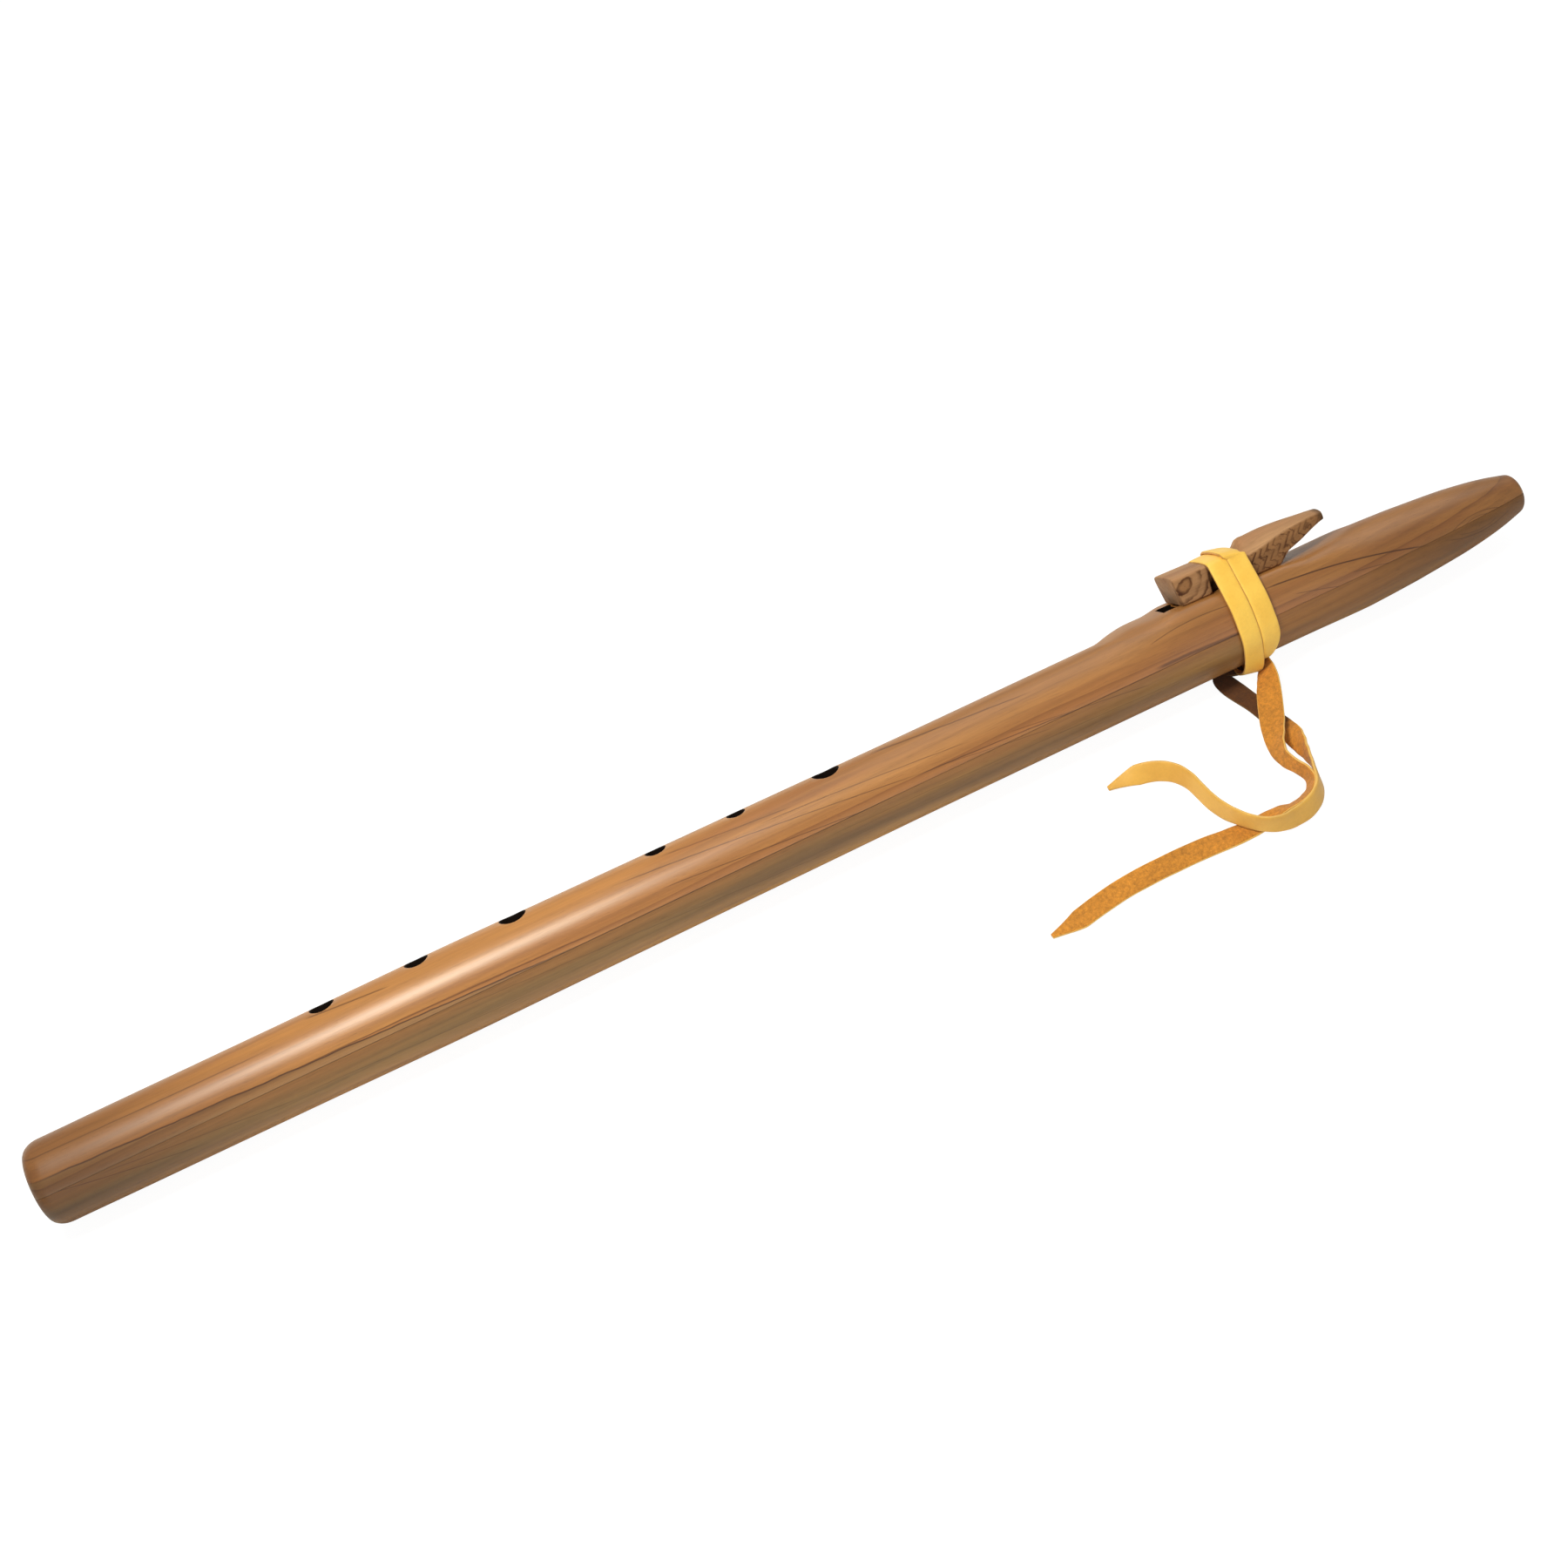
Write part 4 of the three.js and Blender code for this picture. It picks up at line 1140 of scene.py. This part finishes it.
def streak_group() -> bpy.types.NodeTree:
    """A dark line in the wood that runs on a slant between two places and bows between them."""
    group, w, given, result = new_group(
        "dark_streak",
        (
            ("Place", "Vector", None), ("Start", "Float", 0.0), ("End", "Float", 1.0),
            ("Start Height", "Float", 0.0), ("End Height", "Float", 0.0), ("Bow", "Float", 0.0),
            ("Width", "Float", 0.5), ("Wobble", "Float", 0.5),
        ),
        (("Mask", "Float"), ("Below", "Float")),
    )
    place = w.node("SeparateXYZ", {}, i0=given.outputs["Place"])
    x, y, z = place.outputs
    span = w.math("SUBTRACT", given.outputs["End"], given.outputs["Start"])
    share = w.math("DIVIDE", w.math("SUBTRACT", x, given.outputs["Start"]), span)
    rise = w.math("SUBTRACT", given.outputs["End Height"], given.outputs["Start Height"])
    level = w.math("MULTIPLY_ADD", rise, share, given.outputs["Start Height"])
    arch = w.math("MULTIPLY", w.math("MULTIPLY", share, w.math("SUBTRACT", 1.0, share)), 4.0)
    level = w.math("MULTIPLY_ADD", arch, given.outputs["Bow"], level)
    wobble = w.math("SUBTRACT", w.noise(w.scaled(given.outputs["Place"], (0.09, 0.05, 0.05)), 2.0), 0.5)
    level = w.math("MULTIPLY_ADD", wobble, given.outputs["Wobble"], level)
    off = w.math("DIVIDE", w.math("ABSOLUTE", w.math("SUBTRACT", z, level)), given.outputs["Width"])
    inside = w.math("MULTIPLY", w.ease(share, 0.0, 0.12), w.math("SUBTRACT", 1.0, w.ease(share, 0.86, 1.0)))
    near = w.math("LESS_THAN", y, 0.0)
    line = w.math("MULTIPLY", w.math("SUBTRACT", 1.0, w.ease(off, 0.2, 1.0)), inside)
    w.feed(result.inputs["Mask"], w.math("MULTIPLY", line, near))
    within = w.math("MULTIPLY", w.math("LESS_THAN", share, 1.0), near)
    w.feed(result.inputs["Below"], w.math("MULTIPLY", w.math("LESS_THAN", z, level), within))
    return group


def figure_and_shade_group() -> bpy.types.NodeTree:
    """The block's figure on its near side: rings round a knot by its front, zigzags on its tail. Its first output
    is painted shade that darkens the near side, most on the tail, with the knot's darker core added.
    """
    group, w, given, result = new_group(
        "block_figure_and_shade",
        (
            ("Place", "Vector", None), ("Strip", "Vector", None), ("Knot X", "Float", 471.4),
            ("Knot Height", "Float", 23.9), ("Tail From", "Float", 488.0),
        ),
        (("Side", "Float"), ("Line", "Float")),
    )
    place = given.outputs["Place"]
    x, y, z = w.node("SeparateXYZ", {}, i0=place).outputs
    rough = w.math("SUBTRACT", w.noise(w.scaled(place, (0.3, 0.1, 0.3)), 3.0, 0.6), 0.5)
    up = w.math("SUBTRACT", z, given.outputs["Knot Height"])
    off = w.math("SUBTRACT", x, given.outputs["Knot X"])
    off = w.math("MULTIPLY", w.math("MULTIPLY_ADD", up, -0.4, off), 0.8)
    flat = w.node("CombineXYZ", {}, X=off, Y=w.math("MULTIPLY", up, 0.95)).outputs[0]
    knot = w.node("VectorMath", {"operation": "LENGTH"}, i0=flat).outputs["Value"]
    knot = w.math("MULTIPLY_ADD", rough, 2.8, knot)
    slant = w.math("MULTIPLY_ADD", x, -0.35, w.math("MULTIPLY_ADD", rough, 4.0, z))
    saw = w.math("PINGPONG", slant, 2.3)
    jagged = w.math("MULTIPLY_ADD", saw, 1.25, w.math("MULTIPLY_ADD", rough, 6.5, x))
    tail = w.math("GREATER_THAN", x, given.outputs["Tail From"])
    rings = w.node("Mix", {}, i0=tail, i2=w.math("DIVIDE", knot, 3.1), i3=w.math("DIVIDE", jagged, 3.7))
    share = w.math("FRACT", rings.outputs[0])
    line = w.math("MULTIPLY", w.ease(share, 0.4, 0.82), w.math("SUBTRACT", 1.0, w.ease(share, 0.84, 1.0)))
    round_ring = w.node("SeparateXYZ", {}, i0=given.outputs["Strip"]).outputs[1]
    side = w.math("MULTIPLY", w.ease(round_ring, 0.785, 0.835), w.math("LESS_THAN", round_ring, 0.98))
    blotch = w.span(w.noise(w.scaled(place, (0.16, 0.1, 0.16)), 2.0), -0.5, 1.9)
    # Painted shade of the near side: it grows from the front to the tail, and the knot's darker core adds to it on
    # the front.
    core = w.math("MULTIPLY", w.ease(knot, 3.4, 1.8), w.math("SUBTRACT", 1.0, tail))
    depth = w.math("MULTIPLY_ADD", core, 0.6, w.span(tail, 0.55, 0.95))
    w.feed(result.inputs["Side"], w.math("MULTIPLY", side, depth))
    w.feed(result.inputs["Line"], w.math("MULTIPLY", w.math("MULTIPLY", side, line), blotch))
    return group


@dataclass(frozen=True)
class Streak:
    """One dark line of the near side: its ends along the flute, their heights, bow, width and depth.

    Below is the strength of the greyer wood under it.
    """

    start: float
    end: float
    start_height: float
    end_height: float
    bow: float
    width: float
    wobble: float
    depth: float
    below: float = 0.0


@dataclass(frozen=True)
class CedarFinish:
    """Oiled cedar of one board, with the place of its pith and its dark lines."""

    name: str
    early: str
    late: str
    patch: str
    pith: Row
    spacing: float
    wander: float
    lines: float
    roughness: float
    bump: float
    coat: float = 0.0
    glue: float = 0.0
    # strength of the warm tint near the glue line; any value also switches on the painted light of the lower half
    warmth_and_painted_light: float = 0.0
    figured_and_shaded: bool = False
    # span along the flute where painted shade darkens the wood under the lace
    shaded: Row = ()
    streaks: tuple[Streak, ...] = ()

    def material(self, groups: dict[str, bpy.types.NodeTree]) -> bpy.types.Material:
        """Builds the material.

        Args:
            groups: the shared node groups.

        Returns:
            The material, whose pattern follows the unrolled flute.
        """
        made = bpy.data.materials.new(self.name)
        made.use_nodes = True
        made.node_tree.nodes.clear()
        w = Wiring(made.node_tree)
        place = flute_place(w)
        along = w.node("SeparateXYZ", {}, i0=place).outputs
        cedar = w.node("Group", {"node_tree": groups["cedar"]}, Place=place, Pith=self.pith)
        for label, value in (
            ("Ring Spacing", self.spacing), ("Wander", self.wander), ("Early Wood", srgb(self.early)),
            ("Late Wood", srgb(self.late)), ("Patch", srgb(self.patch)), ("Line Strength", self.lines),
        ):
            cedar.inputs[label].default_value = value
        colour = cedar.outputs["Color"]
        if self.warmth_and_painted_light:
            patchy = w.noise(w.scaled(place, (0.008, 0.12, 0.12)), 2.0)
            depth = w.math("SUBTRACT", w.math("MULTIPLY", patchy, 12.0), along[2])
            depth = w.math("MULTIPLY_ADD", w.ease(along[0], 484.0, 498.0), -8.0, depth)
            near_seam = w.math("SUBTRACT", 1.0, w.ease(depth, 6.0, 13.0))
            warmer = w.vector("MULTIPLY", colour, (1.18, 0.9, 0.63))
            colour = w.mix(w.math("MULTIPLY", near_seam, self.warmth_and_painted_light), colour, warmer)
            # Painted light: the lower half is lightened towards its bottom edge, standing in for light bounced up
            # from the table, and by a smaller share round the block, from about 420 to 540 mm, where the winding
            # shades it.
            pale = w.vector("MULTIPLY", colour, (1.7, 1.6, 1.5))
            nest = w.math("MULTIPLY", w.ease(along[0], 290.0, 420.0), w.ease(along[0], 585.0, 540.0))
            low = w.math("MAXIMUM", w.ease(along[2], -7.0, -13.5), w.math("MULTIPLY", nest, 0.35))
            colour = w.mix(low, colour, pale)
        if self.figured_and_shaded:
            figure_and_shade = w.node(
                "Group", {"node_tree": groups["figure_and_shade"]}, Place=place,
                Strip=w.node("UVMap", {"uv_map": "Strip"}).outputs[0],
            )
            # Painted shade darkens the block's near side, together with the knot's darker core.
            colour = w.mix(figure_and_shade.outputs["Side"], colour, w.vector("MULTIPLY", colour, (0.6, 0.52, 0.42)))
            colour = w.mix(figure_and_shade.outputs["Line"], colour, srgb("4a2a18"))
            face = w.math("MULTIPLY_ADD", along[2], 0.114, along[0])
            face = w.math("MULTIPLY", w.ease(face, 471.0, 470.4), 0.5)
            ends = w.math("MAXIMUM", w.ease(along[0], 531.0, 533.6), face)
            colour = w.mix(ends, colour, w.vector("MULTIPLY", colour, (0.45, 0.46, 0.5)))
        else:
            start = w.math("SUBTRACT", 1.0, w.ease(along[0], 0.0, 110.0))
            head = w.math("MULTIPLY", w.ease(along[0], 480.0, 570.0), w.ease(along[2], 16.0, 9.0))
            ends = w.math("MAXIMUM", start, w.math("MULTIPLY", head, 0.62))
            top = w.math("MULTIPLY", w.ease(along[0], 270.0, 340.0), w.ease(along[2], 7.0, 12.0))
            ends = w.math("MAXIMUM", ends, w.math("MULTIPLY", top, 0.32))
            colour = w.mix(ends, colour, w.vector("MULTIPLY", colour, (0.54, 0.5, 0.48)))
        for streak in self.streaks:
            mark = w.node("Group", {"node_tree": groups["streak"]}, Place=place)
            for label, value in (
                ("Start", streak.start), ("End", streak.end), ("Start Height", streak.start_height),
                ("End Height", streak.end_height), ("Bow", streak.bow), ("Width", streak.width),
                ("Wobble", streak.wobble),
            ):
                mark.inputs[label].default_value = value
            if streak.below:
                under = w.math("MULTIPLY", mark.outputs["Below"], streak.below)
                colour = w.mix(under, colour, w.vector("MULTIPLY", colour, (0.72, 0.84, 1.02)))
            depth = w.math("MULTIPLY", mark.outputs["Mask"], streak.depth)
            colour = w.mix(depth, colour, srgb("36190b"))
        if self.glue:
            colour = w.mix(self.glue_line(w, place), colour, srgb("2a1a0e"))
        # Painted shade: the wood under the lace's saddle is darkened towards its lower part, where the cavity
        # beside the lace lies in shadow.
        if self.shaded:
            start, end = self.shaded
            inside = w.math("MULTIPLY", w.ease(along[0], start, start + 0.4), w.ease(along[0], end, end - 0.4))
            inside = w.math("MULTIPLY", inside, w.ease(along[2], 22.0, 19.0))
            colour = w.mix(w.math("MULTIPLY", inside, 0.85), colour, srgb("22150d"))
        bump = w.node("Bump", {}, Strength=self.bump, Distance=0.0002, Height=cedar.outputs["Height"])
        rough = w.math("ADD", cedar.outputs["Roughness"], self.roughness)
        shader = w.node(
            "BsdfPrincipled", {}, Base_Color=colour, Roughness=rough, Normal=bump.outputs[0],
            Coat_Weight=self.coat, Coat_Roughness=0.35, Coat_IOR=2.0, Specular_IOR_Level=0.15,
        )
        w.node("OutputMaterial", {}, Surface=shader.outputs[0])
        return made

    def glue_line(self, w: Wiring, place: Socket) -> Socket:
        """Strength of the fine dark glue line, which comes and goes along the barrel."""
        height = w.math("ABSOLUTE", w.node("SeparateXYZ", {}, i0=place).outputs[2])
        fade = w.ease(w.noise(w.scaled(place, (0.013, 0.02, 0.02)), 2.0), 0.3, 0.62)
        line = w.math("SUBTRACT", 1.0, w.ease(height, 0.06, 0.34))
        along = w.node("SeparateXYZ", {}, i0=place).outputs[0]
        fade = w.math("MULTIPLY", w.span(fade, 0.25, 1.0), w.span(w.ease(along, 484.0, 498.0), 1.0, 0.35))
        fade = w.math("MULTIPLY", fade, w.span(w.ease(along, 60.0, 180.0), 0.35, 1.0))
        return w.math("MULTIPLY", w.math("MULTIPLY", line, fade), self.glue)


def dark_hole_wood() -> bpy.types.Material:
    """The near-black walls of the finger holes and the air way."""
    made = bpy.data.materials.new("dark_hole_wood")
    made.use_nodes = True
    made.node_tree.nodes.clear()
    w = Wiring(made.node_tree)
    mottle = w.noise(w.scaled(flute_place(w), (0.9, 0.9, 0.9)), 3.0)
    colour = w.mix(mottle, srgb("090605"), srgb("1d120c"))
    shader = w.node("BsdfPrincipled", {}, Base_Color=colour, Roughness=0.75, Specular_IOR_Level=0.1)
    w.node("OutputMaterial", {}, Surface=shader.outputs[0])
    return made


def flute_place(w: Wiring) -> Socket:
    """Object coordinates turned into millimetres from the foot on the unrolled axis."""
    back = LIE.flute().inverted()
    offset = back @ Vector((0, 0, 0))
    turn = (math.radians(LIE.roll_degrees), 0.0, 0.0)
    mapping = w.node(
        "Mapping", {"vector_type": "POINT"}, Location=tuple(offset), Rotation=turn,
        Scale=(1 / MM, 1 / MM, 1 / MM), Vector=w.node("TexCoord").outputs["Object"],
    )
    return mapping.outputs[0]


def leather_group() -> bpy.types.NodeTree:
    """Two-sided lace leather: one face smooth and yellow, the other brushed orange suede. Its first stretch can be
    darkened with painted shade.
    """
    group, w, given, result = new_group(
        "lace_leather",
        (
            ("Place", "Vector", None), ("Strip", "Vector", None), ("Smooth", "Color", None),
            ("Suede", "Color", None), ("Outside Suede", "Float", 0.0), ("Shade", "Color", None),
            ("Edge", "Color", None), ("Stained Run", "Float", 0.0),
        ),
        (("Color", "Color"), ("Height", "Float"), ("Roughness", "Float")),
    )
    place = w.vector("MULTIPLY", given.outputs["Place"], (1 / MM, 1 / MM, 1 / MM))
    run, round_ring = w.node("SeparateXYZ", {}, i0=given.outputs["Strip"]).outputs[:2]
    under = w.math("GREATER_THAN", round_ring, 0.475)
    flip = w.math("ABSOLUTE", w.math("SUBTRACT", under, given.outputs["Outside Suede"]))
    cloud = w.noise(w.scaled(place, (0.09, 0.09, 0.09)), 3.0)
    nap = w.noise(w.scaled(place, (0.7, 0.7, 0.7)), 4.0, 0.8)
    grain = w.noise(w.scaled(place, (1.1, 1.1, 1.1)), 3.0)
    smooth = w.mix(w.ease(cloud, 0.3, 0.75), given.outputs["Smooth"], given.outputs["Shade"])
    speck = w.math("MULTIPLY", w.span(nap, 0.1, 1.9), w.span(cloud, 0.72, 1.28))
    speck = w.node("CombineXYZ", {}, X=speck, Y=speck, Z=speck).outputs[0]
    suede = w.vector("MULTIPLY", given.outputs["Suede"], speck)
    fine = w.span(grain, 0.93, 1.07)
    fine = w.node("CombineXYZ", {}, X=fine, Y=fine, Z=fine).outputs[0]
    colour = w.mix(flip, w.vector("MULTIPLY", smooth, fine), suede)
    off_edge = w.math("ABSOLUTE", w.math("SUBTRACT", w.math("FRACT", w.math("MULTIPLY", round_ring, 2.0)), 0.864))
    cut = w.math("SUBTRACT", 1.0, w.ease(off_edge, 0.07, 0.12))
    colour = w.mix(w.math("MULTIPLY", cut, 0.8), colour, given.outputs["Edge"])
    # Painted shade: the lace is darkened from its start up to the given share of its run, as if in the shadow
    # under the barrel.
    painted_shade_reach = w.math("SUBTRACT", given.outputs["Stained Run"], run)
    colour = w.mix(w.ease(painted_shade_reach, 0.0, 0.05), colour, w.vector("MULTIPLY", colour, (0.17, 0.13, 0.08)))
    w.feed(result.inputs["Color"], colour)
    height = w.math("ADD", w.math("MULTIPLY", grain, 0.25), w.math("MULTIPLY", nap, w.span(flip, 0.05, 0.9)))
    w.feed(result.inputs["Height"], height)
    w.feed(result.inputs["Roughness"], w.span(flip, 0.55, 0.92))
    return group


@dataclass(frozen=True)
class LeatherFinish:
    """Yellow lace leather with the side that lies outside."""

    name: str
    smooth: str
    shade: str
    suede: str
    edge: str
    outside: Skin
    # share of the run, from its start, that is darkened with painted shade
    stained: float = 0.0
    bump: float = 0.5

    def material(self, groups: dict[str, bpy.types.NodeTree]) -> bpy.types.Material:
        """Builds the material.

        Args:
            groups: the shared node groups.

        Returns:
            The material.
        """
        made = bpy.data.materials.new(self.name)
        made.use_nodes = True
        made.node_tree.nodes.clear()
        w = Wiring(made.node_tree)
        strip = w.node("UVMap", {"uv_map": "Strip"}).outputs[0]
        leather = w.node(
            "Group", {"node_tree": groups["leather"]}, Place=w.node("TexCoord").outputs["Object"],
            Strip=strip, Smooth=srgb(self.smooth), Suede=srgb(self.suede), Shade=srgb(self.shade),
            Outside_Suede=self.outside.value, Edge=srgb(self.edge), Stained_Run=self.stained,
        )
        bump = w.node("Bump", {}, Strength=self.bump, Distance=0.0002, Height=leather.outputs["Height"])
        shader = w.node(
            "BsdfPrincipled", {}, Base_Color=leather.outputs["Color"], Normal=bump.outputs[0],
            Roughness=leather.outputs["Roughness"], Sheen_Weight=0.15, Sheen_Roughness=0.6,
        )
        w.node("OutputMaterial", {}, Surface=shader.outputs[0])
        return made


# ---- The studio ----


@dataclass
class Studio:
    """Camera, floor, lights and world, in millimetres of the frame."""

    camera_at: Row = (-114.531, -516.003, 640.314)
    look_at: Row = (-4.8, 6.958, 31.776)
    roll_degrees: float = 16.1096
    lens: float = 50.0
    sensor: float = 36.0
    floor_size: float = 6.0
    world_strength: float = 0.32

    def camera(self) -> None:
        """Places the camera at the photograph's viewing angle."""
        data = bpy.data.cameras.new("camera")
        data.lens = self.lens
        data.sensor_width = self.sensor
        data.clip_start = 0.02
        view = (Vector(self.look_at) - Vector(self.camera_at)).normalized()
        level = view.cross(Vector((0, 0, 1))).normalized()
        rise = level.cross(view)
        roll = math.radians(self.roll_degrees)
        right = level * math.cos(roll) - rise * math.sin(roll)
        up = level * math.sin(roll) + rise * math.cos(roll)
        turn = Matrix((right, up, -view)).transposed().to_4x4()
        made = bpy.data.objects.new("camera", data)
        made.matrix_world = Matrix.Translation(Vector(self.camera_at) * MM) @ turn
        bpy.context.scene.collection.objects.link(made)
        bpy.context.scene.camera = made

    def floor(self) -> None:
        """Lays a plain pale floor that keeps a soft shadow."""
        mesh = fresh_mesh()
        bmesh.ops.create_grid(mesh, x_segments=1, y_segments=1, size=self.floor_size / 2)
        made = make_piece("floor", mesh, Matrix.Identity(4))
        material = bpy.data.materials.new("floor_paper")
        material.use_nodes = True
        material.node_tree.nodes.clear()
        w = Wiring(material.node_tree)
        paper = w.node("BsdfDiffuse", {}, Color=(0.86, 0.86, 0.86, 1.0))
        bright = w.node("Emission", {}, Color=(1.0, 1.0, 1.0, 1.0), Strength=1.18)
        seen = w.math("MULTIPLY", w.node("LightPath").outputs["Is Camera Ray"], 0.8)
        mixed = w.node("MixShader", {}, i0=seen, i1=paper.outputs[0], i2=bright.outputs[0])
        w.node("OutputMaterial", {}, Surface=mixed.outputs[0])
        made.data.materials.append(material)

    def area(self, name: str, at: Row, size: Row, power: float, tint: Row) -> None:
        """Hangs one soft lamp that faces the flute.

        Args:
            name: the lamp's name.
            at: its place in millimetres.
            size: its width and depth in metres.
            power: its power in watts.
            tint: its colour.
        """
        data = bpy.data.lights.new(name, "AREA")
        data.shape = "RECTANGLE"
        data.size, data.size_y = size
        data.energy = power
        data.color = tint
        made = bpy.data.objects.new(name, data)
        aim = Vector((at[0] * 0.4, 0, 0)) - Vector(at)
        made.matrix_world = Matrix.Translation(Vector(at) * MM) @ aim.to_track_quat("-Z", "Y").to_matrix().to_4x4()
        bpy.context.scene.collection.objects.link(made)

    def world(self) -> None:
        """Surrounds the scene with even white light."""
        world = bpy.data.worlds.new("studio")
        world.use_nodes = True
        world.node_tree.nodes.clear()
        w = Wiring(world.node_tree)
        path = w.node("LightPath")
        plain = w.node("Background", {}, Color=(0.98, 0.97, 0.96, 1.0), Strength=self.world_strength)
        white = w.node("Background", {}, Color=(1.0, 1.0, 1.0, 1.0), Strength=1.0)
        mixed = w.node("MixShader", {}, i0=path.outputs["Is Camera Ray"], i1=plain.outputs[0], i2=white.outputs[0])
        w.node("OutputWorld", {}, Surface=mixed.outputs[0])
        bpy.context.scene.world = world

    def build(self) -> None:
        """Sets the stage."""
        self.floor()
        self.world()
        self.area("overhead", (-186, 10, 700), (0.2, 0.25), 4.6, (1.0, 0.93, 0.78))
        self.area("window", (500, 500, 700), (0.9, 0.7), 2.0, (0.96, 0.98, 1.0))
        self.area("fill", (-100, -900, 220), (1.6, 0.4), 2.2, (1.0, 0.97, 0.92))
        bpy.context.scene.view_settings.view_transform = "Standard"


LACE_BAND = Streak(446, 492, 1.0, -0.8, 0.5, 1.05, 0.7, 0.62)
HEAD_LINE = Streak(496, 568, 11.2, -1.2, 2.4, 0.42, 0.3, 0.85)
RED_LINE = Streak(383, 446, 3.6, -3.7, 0.0, 0.3, 0.4, 0.4)
LOW_LINE = Streak(354, 404, 3.4, -2.6, 0.0, 0.24, 0.4, 0.4)
UPPER_CEDAR = CedarFinish(
    name="cedar_upper", early="b07a40", late="5f3a1e", patch="9d6736", pith=(0, 14, -58), spacing=2.6,
    wander=12.0, lines=0.8, roughness=0.46, bump=0.3, coat=0.42, glue=0.55,
    streaks=(
        Streak(-8, 212, 6.0, -0.1, 0.3, 0.4, 1.1, 0.85, below=1.0), LACE_BAND, HEAD_LINE, RED_LINE,
        LOW_LINE, Streak(-6, 96, 12.9, 12.4, 0.0, 0.26, 0.3, 0.5),
        Streak(100, 224, 3.4, 1.5, 0.5, 0.28, 0.5, 0.55), Streak(108, 142, 15.7, 14.3, 0.0, 0.25, 0.1, 0.6),
        Streak(226, 352, 13.2, 3.0, 0.9, 0.26, 0.4, 0.6), Streak(240, 342, 5.9, -1.7, 0.4, 0.26, 0.4, 0.6),
        Streak(284, 374, 11.2, 6.0, 0.6, 0.26, 0.4, 0.5), Streak(248, 302, 14.8, 11.7, 0.0, 0.26, 0.3, 0.45),
        Streak(334, 402, 15.5, 12.2, 0.1, 0.26, 0.3, 0.55), Streak(344, 418, 3.3, -0.4, 0.4, 0.3, 0.4, 0.65),
        Streak(448, 488, 9.8, 10.4, 2.1, 0.28, 0.2, 0.55),
        Streak(508, 533, 4.8, -2.2, 0.4, 0.26, 0.2, 0.5), Streak(533, 552, 2.7, -0.9, 0.3, 0.26, 0.2, 0.5),
        Streak(574, 606, -2.0, -2.6, 4.4, 0.3, 0.5, 0.45), Streak(580, 600, -2.4, -2.8, 3.4, 0.26, 0.5, 0.4),
    ),
)
LOWER_CEDAR = CedarFinish(
    name="cedar_lower", early="856539", late="4f3520", patch="745634", pith=(0, 16, 60), spacing=2.5,
    wander=12.0, lines=0.75, roughness=0.5, bump=0.3, coat=0.24, glue=0.55, warmth_and_painted_light=0.85,
    streaks=(
        LACE_BAND, HEAD_LINE, RED_LINE, LOW_LINE, Streak(574, 606, -2.0, -2.6, -3.4, 0.3, 0.5, 0.45),
        Streak(580, 600, -2.4, -2.8, -1.9, 0.26, 0.5, 0.4), Streak(-4, 62, 2.4, -8.0, -0.5, 0.26, 0.3, 0.55),
        Streak(22, 98, -0.6, -7.6, 0.2, 0.24, 0.4, 0.45), Streak(96, 190, -6.2, -9.5, 0.0, 0.22, 0.6, 0.35),
        Streak(150, 320, -1.6, -10.5, 0.4, 0.22, 0.6, 0.35), Streak(300, 470, -3.0, -8.0, 0.5, 0.22, 0.6, 0.3),
    ),
)
BLOCK_CEDAR = CedarFinish(
    name="cedar_block", early="b88e66", late="5f3821", patch="a87c58", pith=(0, 60, -40), spacing=3.2,
    wander=8.0, lines=0.5, roughness=0.55, bump=0.5, figured_and_shaded=True, shaded=(482.3, 498.5),
)
WINDING_LEATHER = LeatherFinish(
    name="lace_leather_smooth", smooth="fed259", shade="f8c54a", suede="d0852a", edge="b98330",
    outside=Skin.SMOOTH,
)
TAIL_LEATHER = LeatherFinish(
    name="lace_leather_suede", smooth="e4b048", shade="d9a23e", suede="c68226", edge="e6bb62",
    outside=Skin.SUEDE,
)
# The back end's first stretch lies in the shadow under the barrel and is darkened with painted shade.
BACK_LEATHER = replace(TAIL_LEATHER, name="lace_leather_shaded", stained=0.28)


def main() -> None:
    """Builds the camera and the cords first, then the other pieces, and logs the faces of each but the cords."""
    logging.basicConfig(level=logging.INFO, format="%(name)s %(message)s")
    studio = Studio()
    studio.camera()
    groups = {
        "cedar": cedar_group(), "streak": streak_group(), "figure_and_shade": figure_and_shade_group(),
        "leather": leather_group(),
    }
    strap = Strap()
    smooth = WINDING_LEATHER.material(groups)
    suede = TAIL_LEATHER.material(groups)
    Tail("lace_tail_front", strap, FRONT_ROUTE, FRONT_WIDTHS).build(suede)
    Tail("lace_tail_back", strap, BACK_ROUTE, BACK_WIDTHS).build(BACK_LEATHER.material(groups))
    barrel = Barrel()
    cedar = {Half.UPPER: UPPER_CEDAR.material(groups), Half.LOWER: LOWER_CEDAR.material(groups)}
    barrel.build(cedar, dark_hole_wood())
    block = Block(barrel)
    block.build(BLOCK_CEDAR.material(groups))
    winding = Winding(barrel, block, strap)
    winding.build(smooth)
    Knot(winding).build(smooth)
    studio.build()


if __name__ == "__main__":
    main()
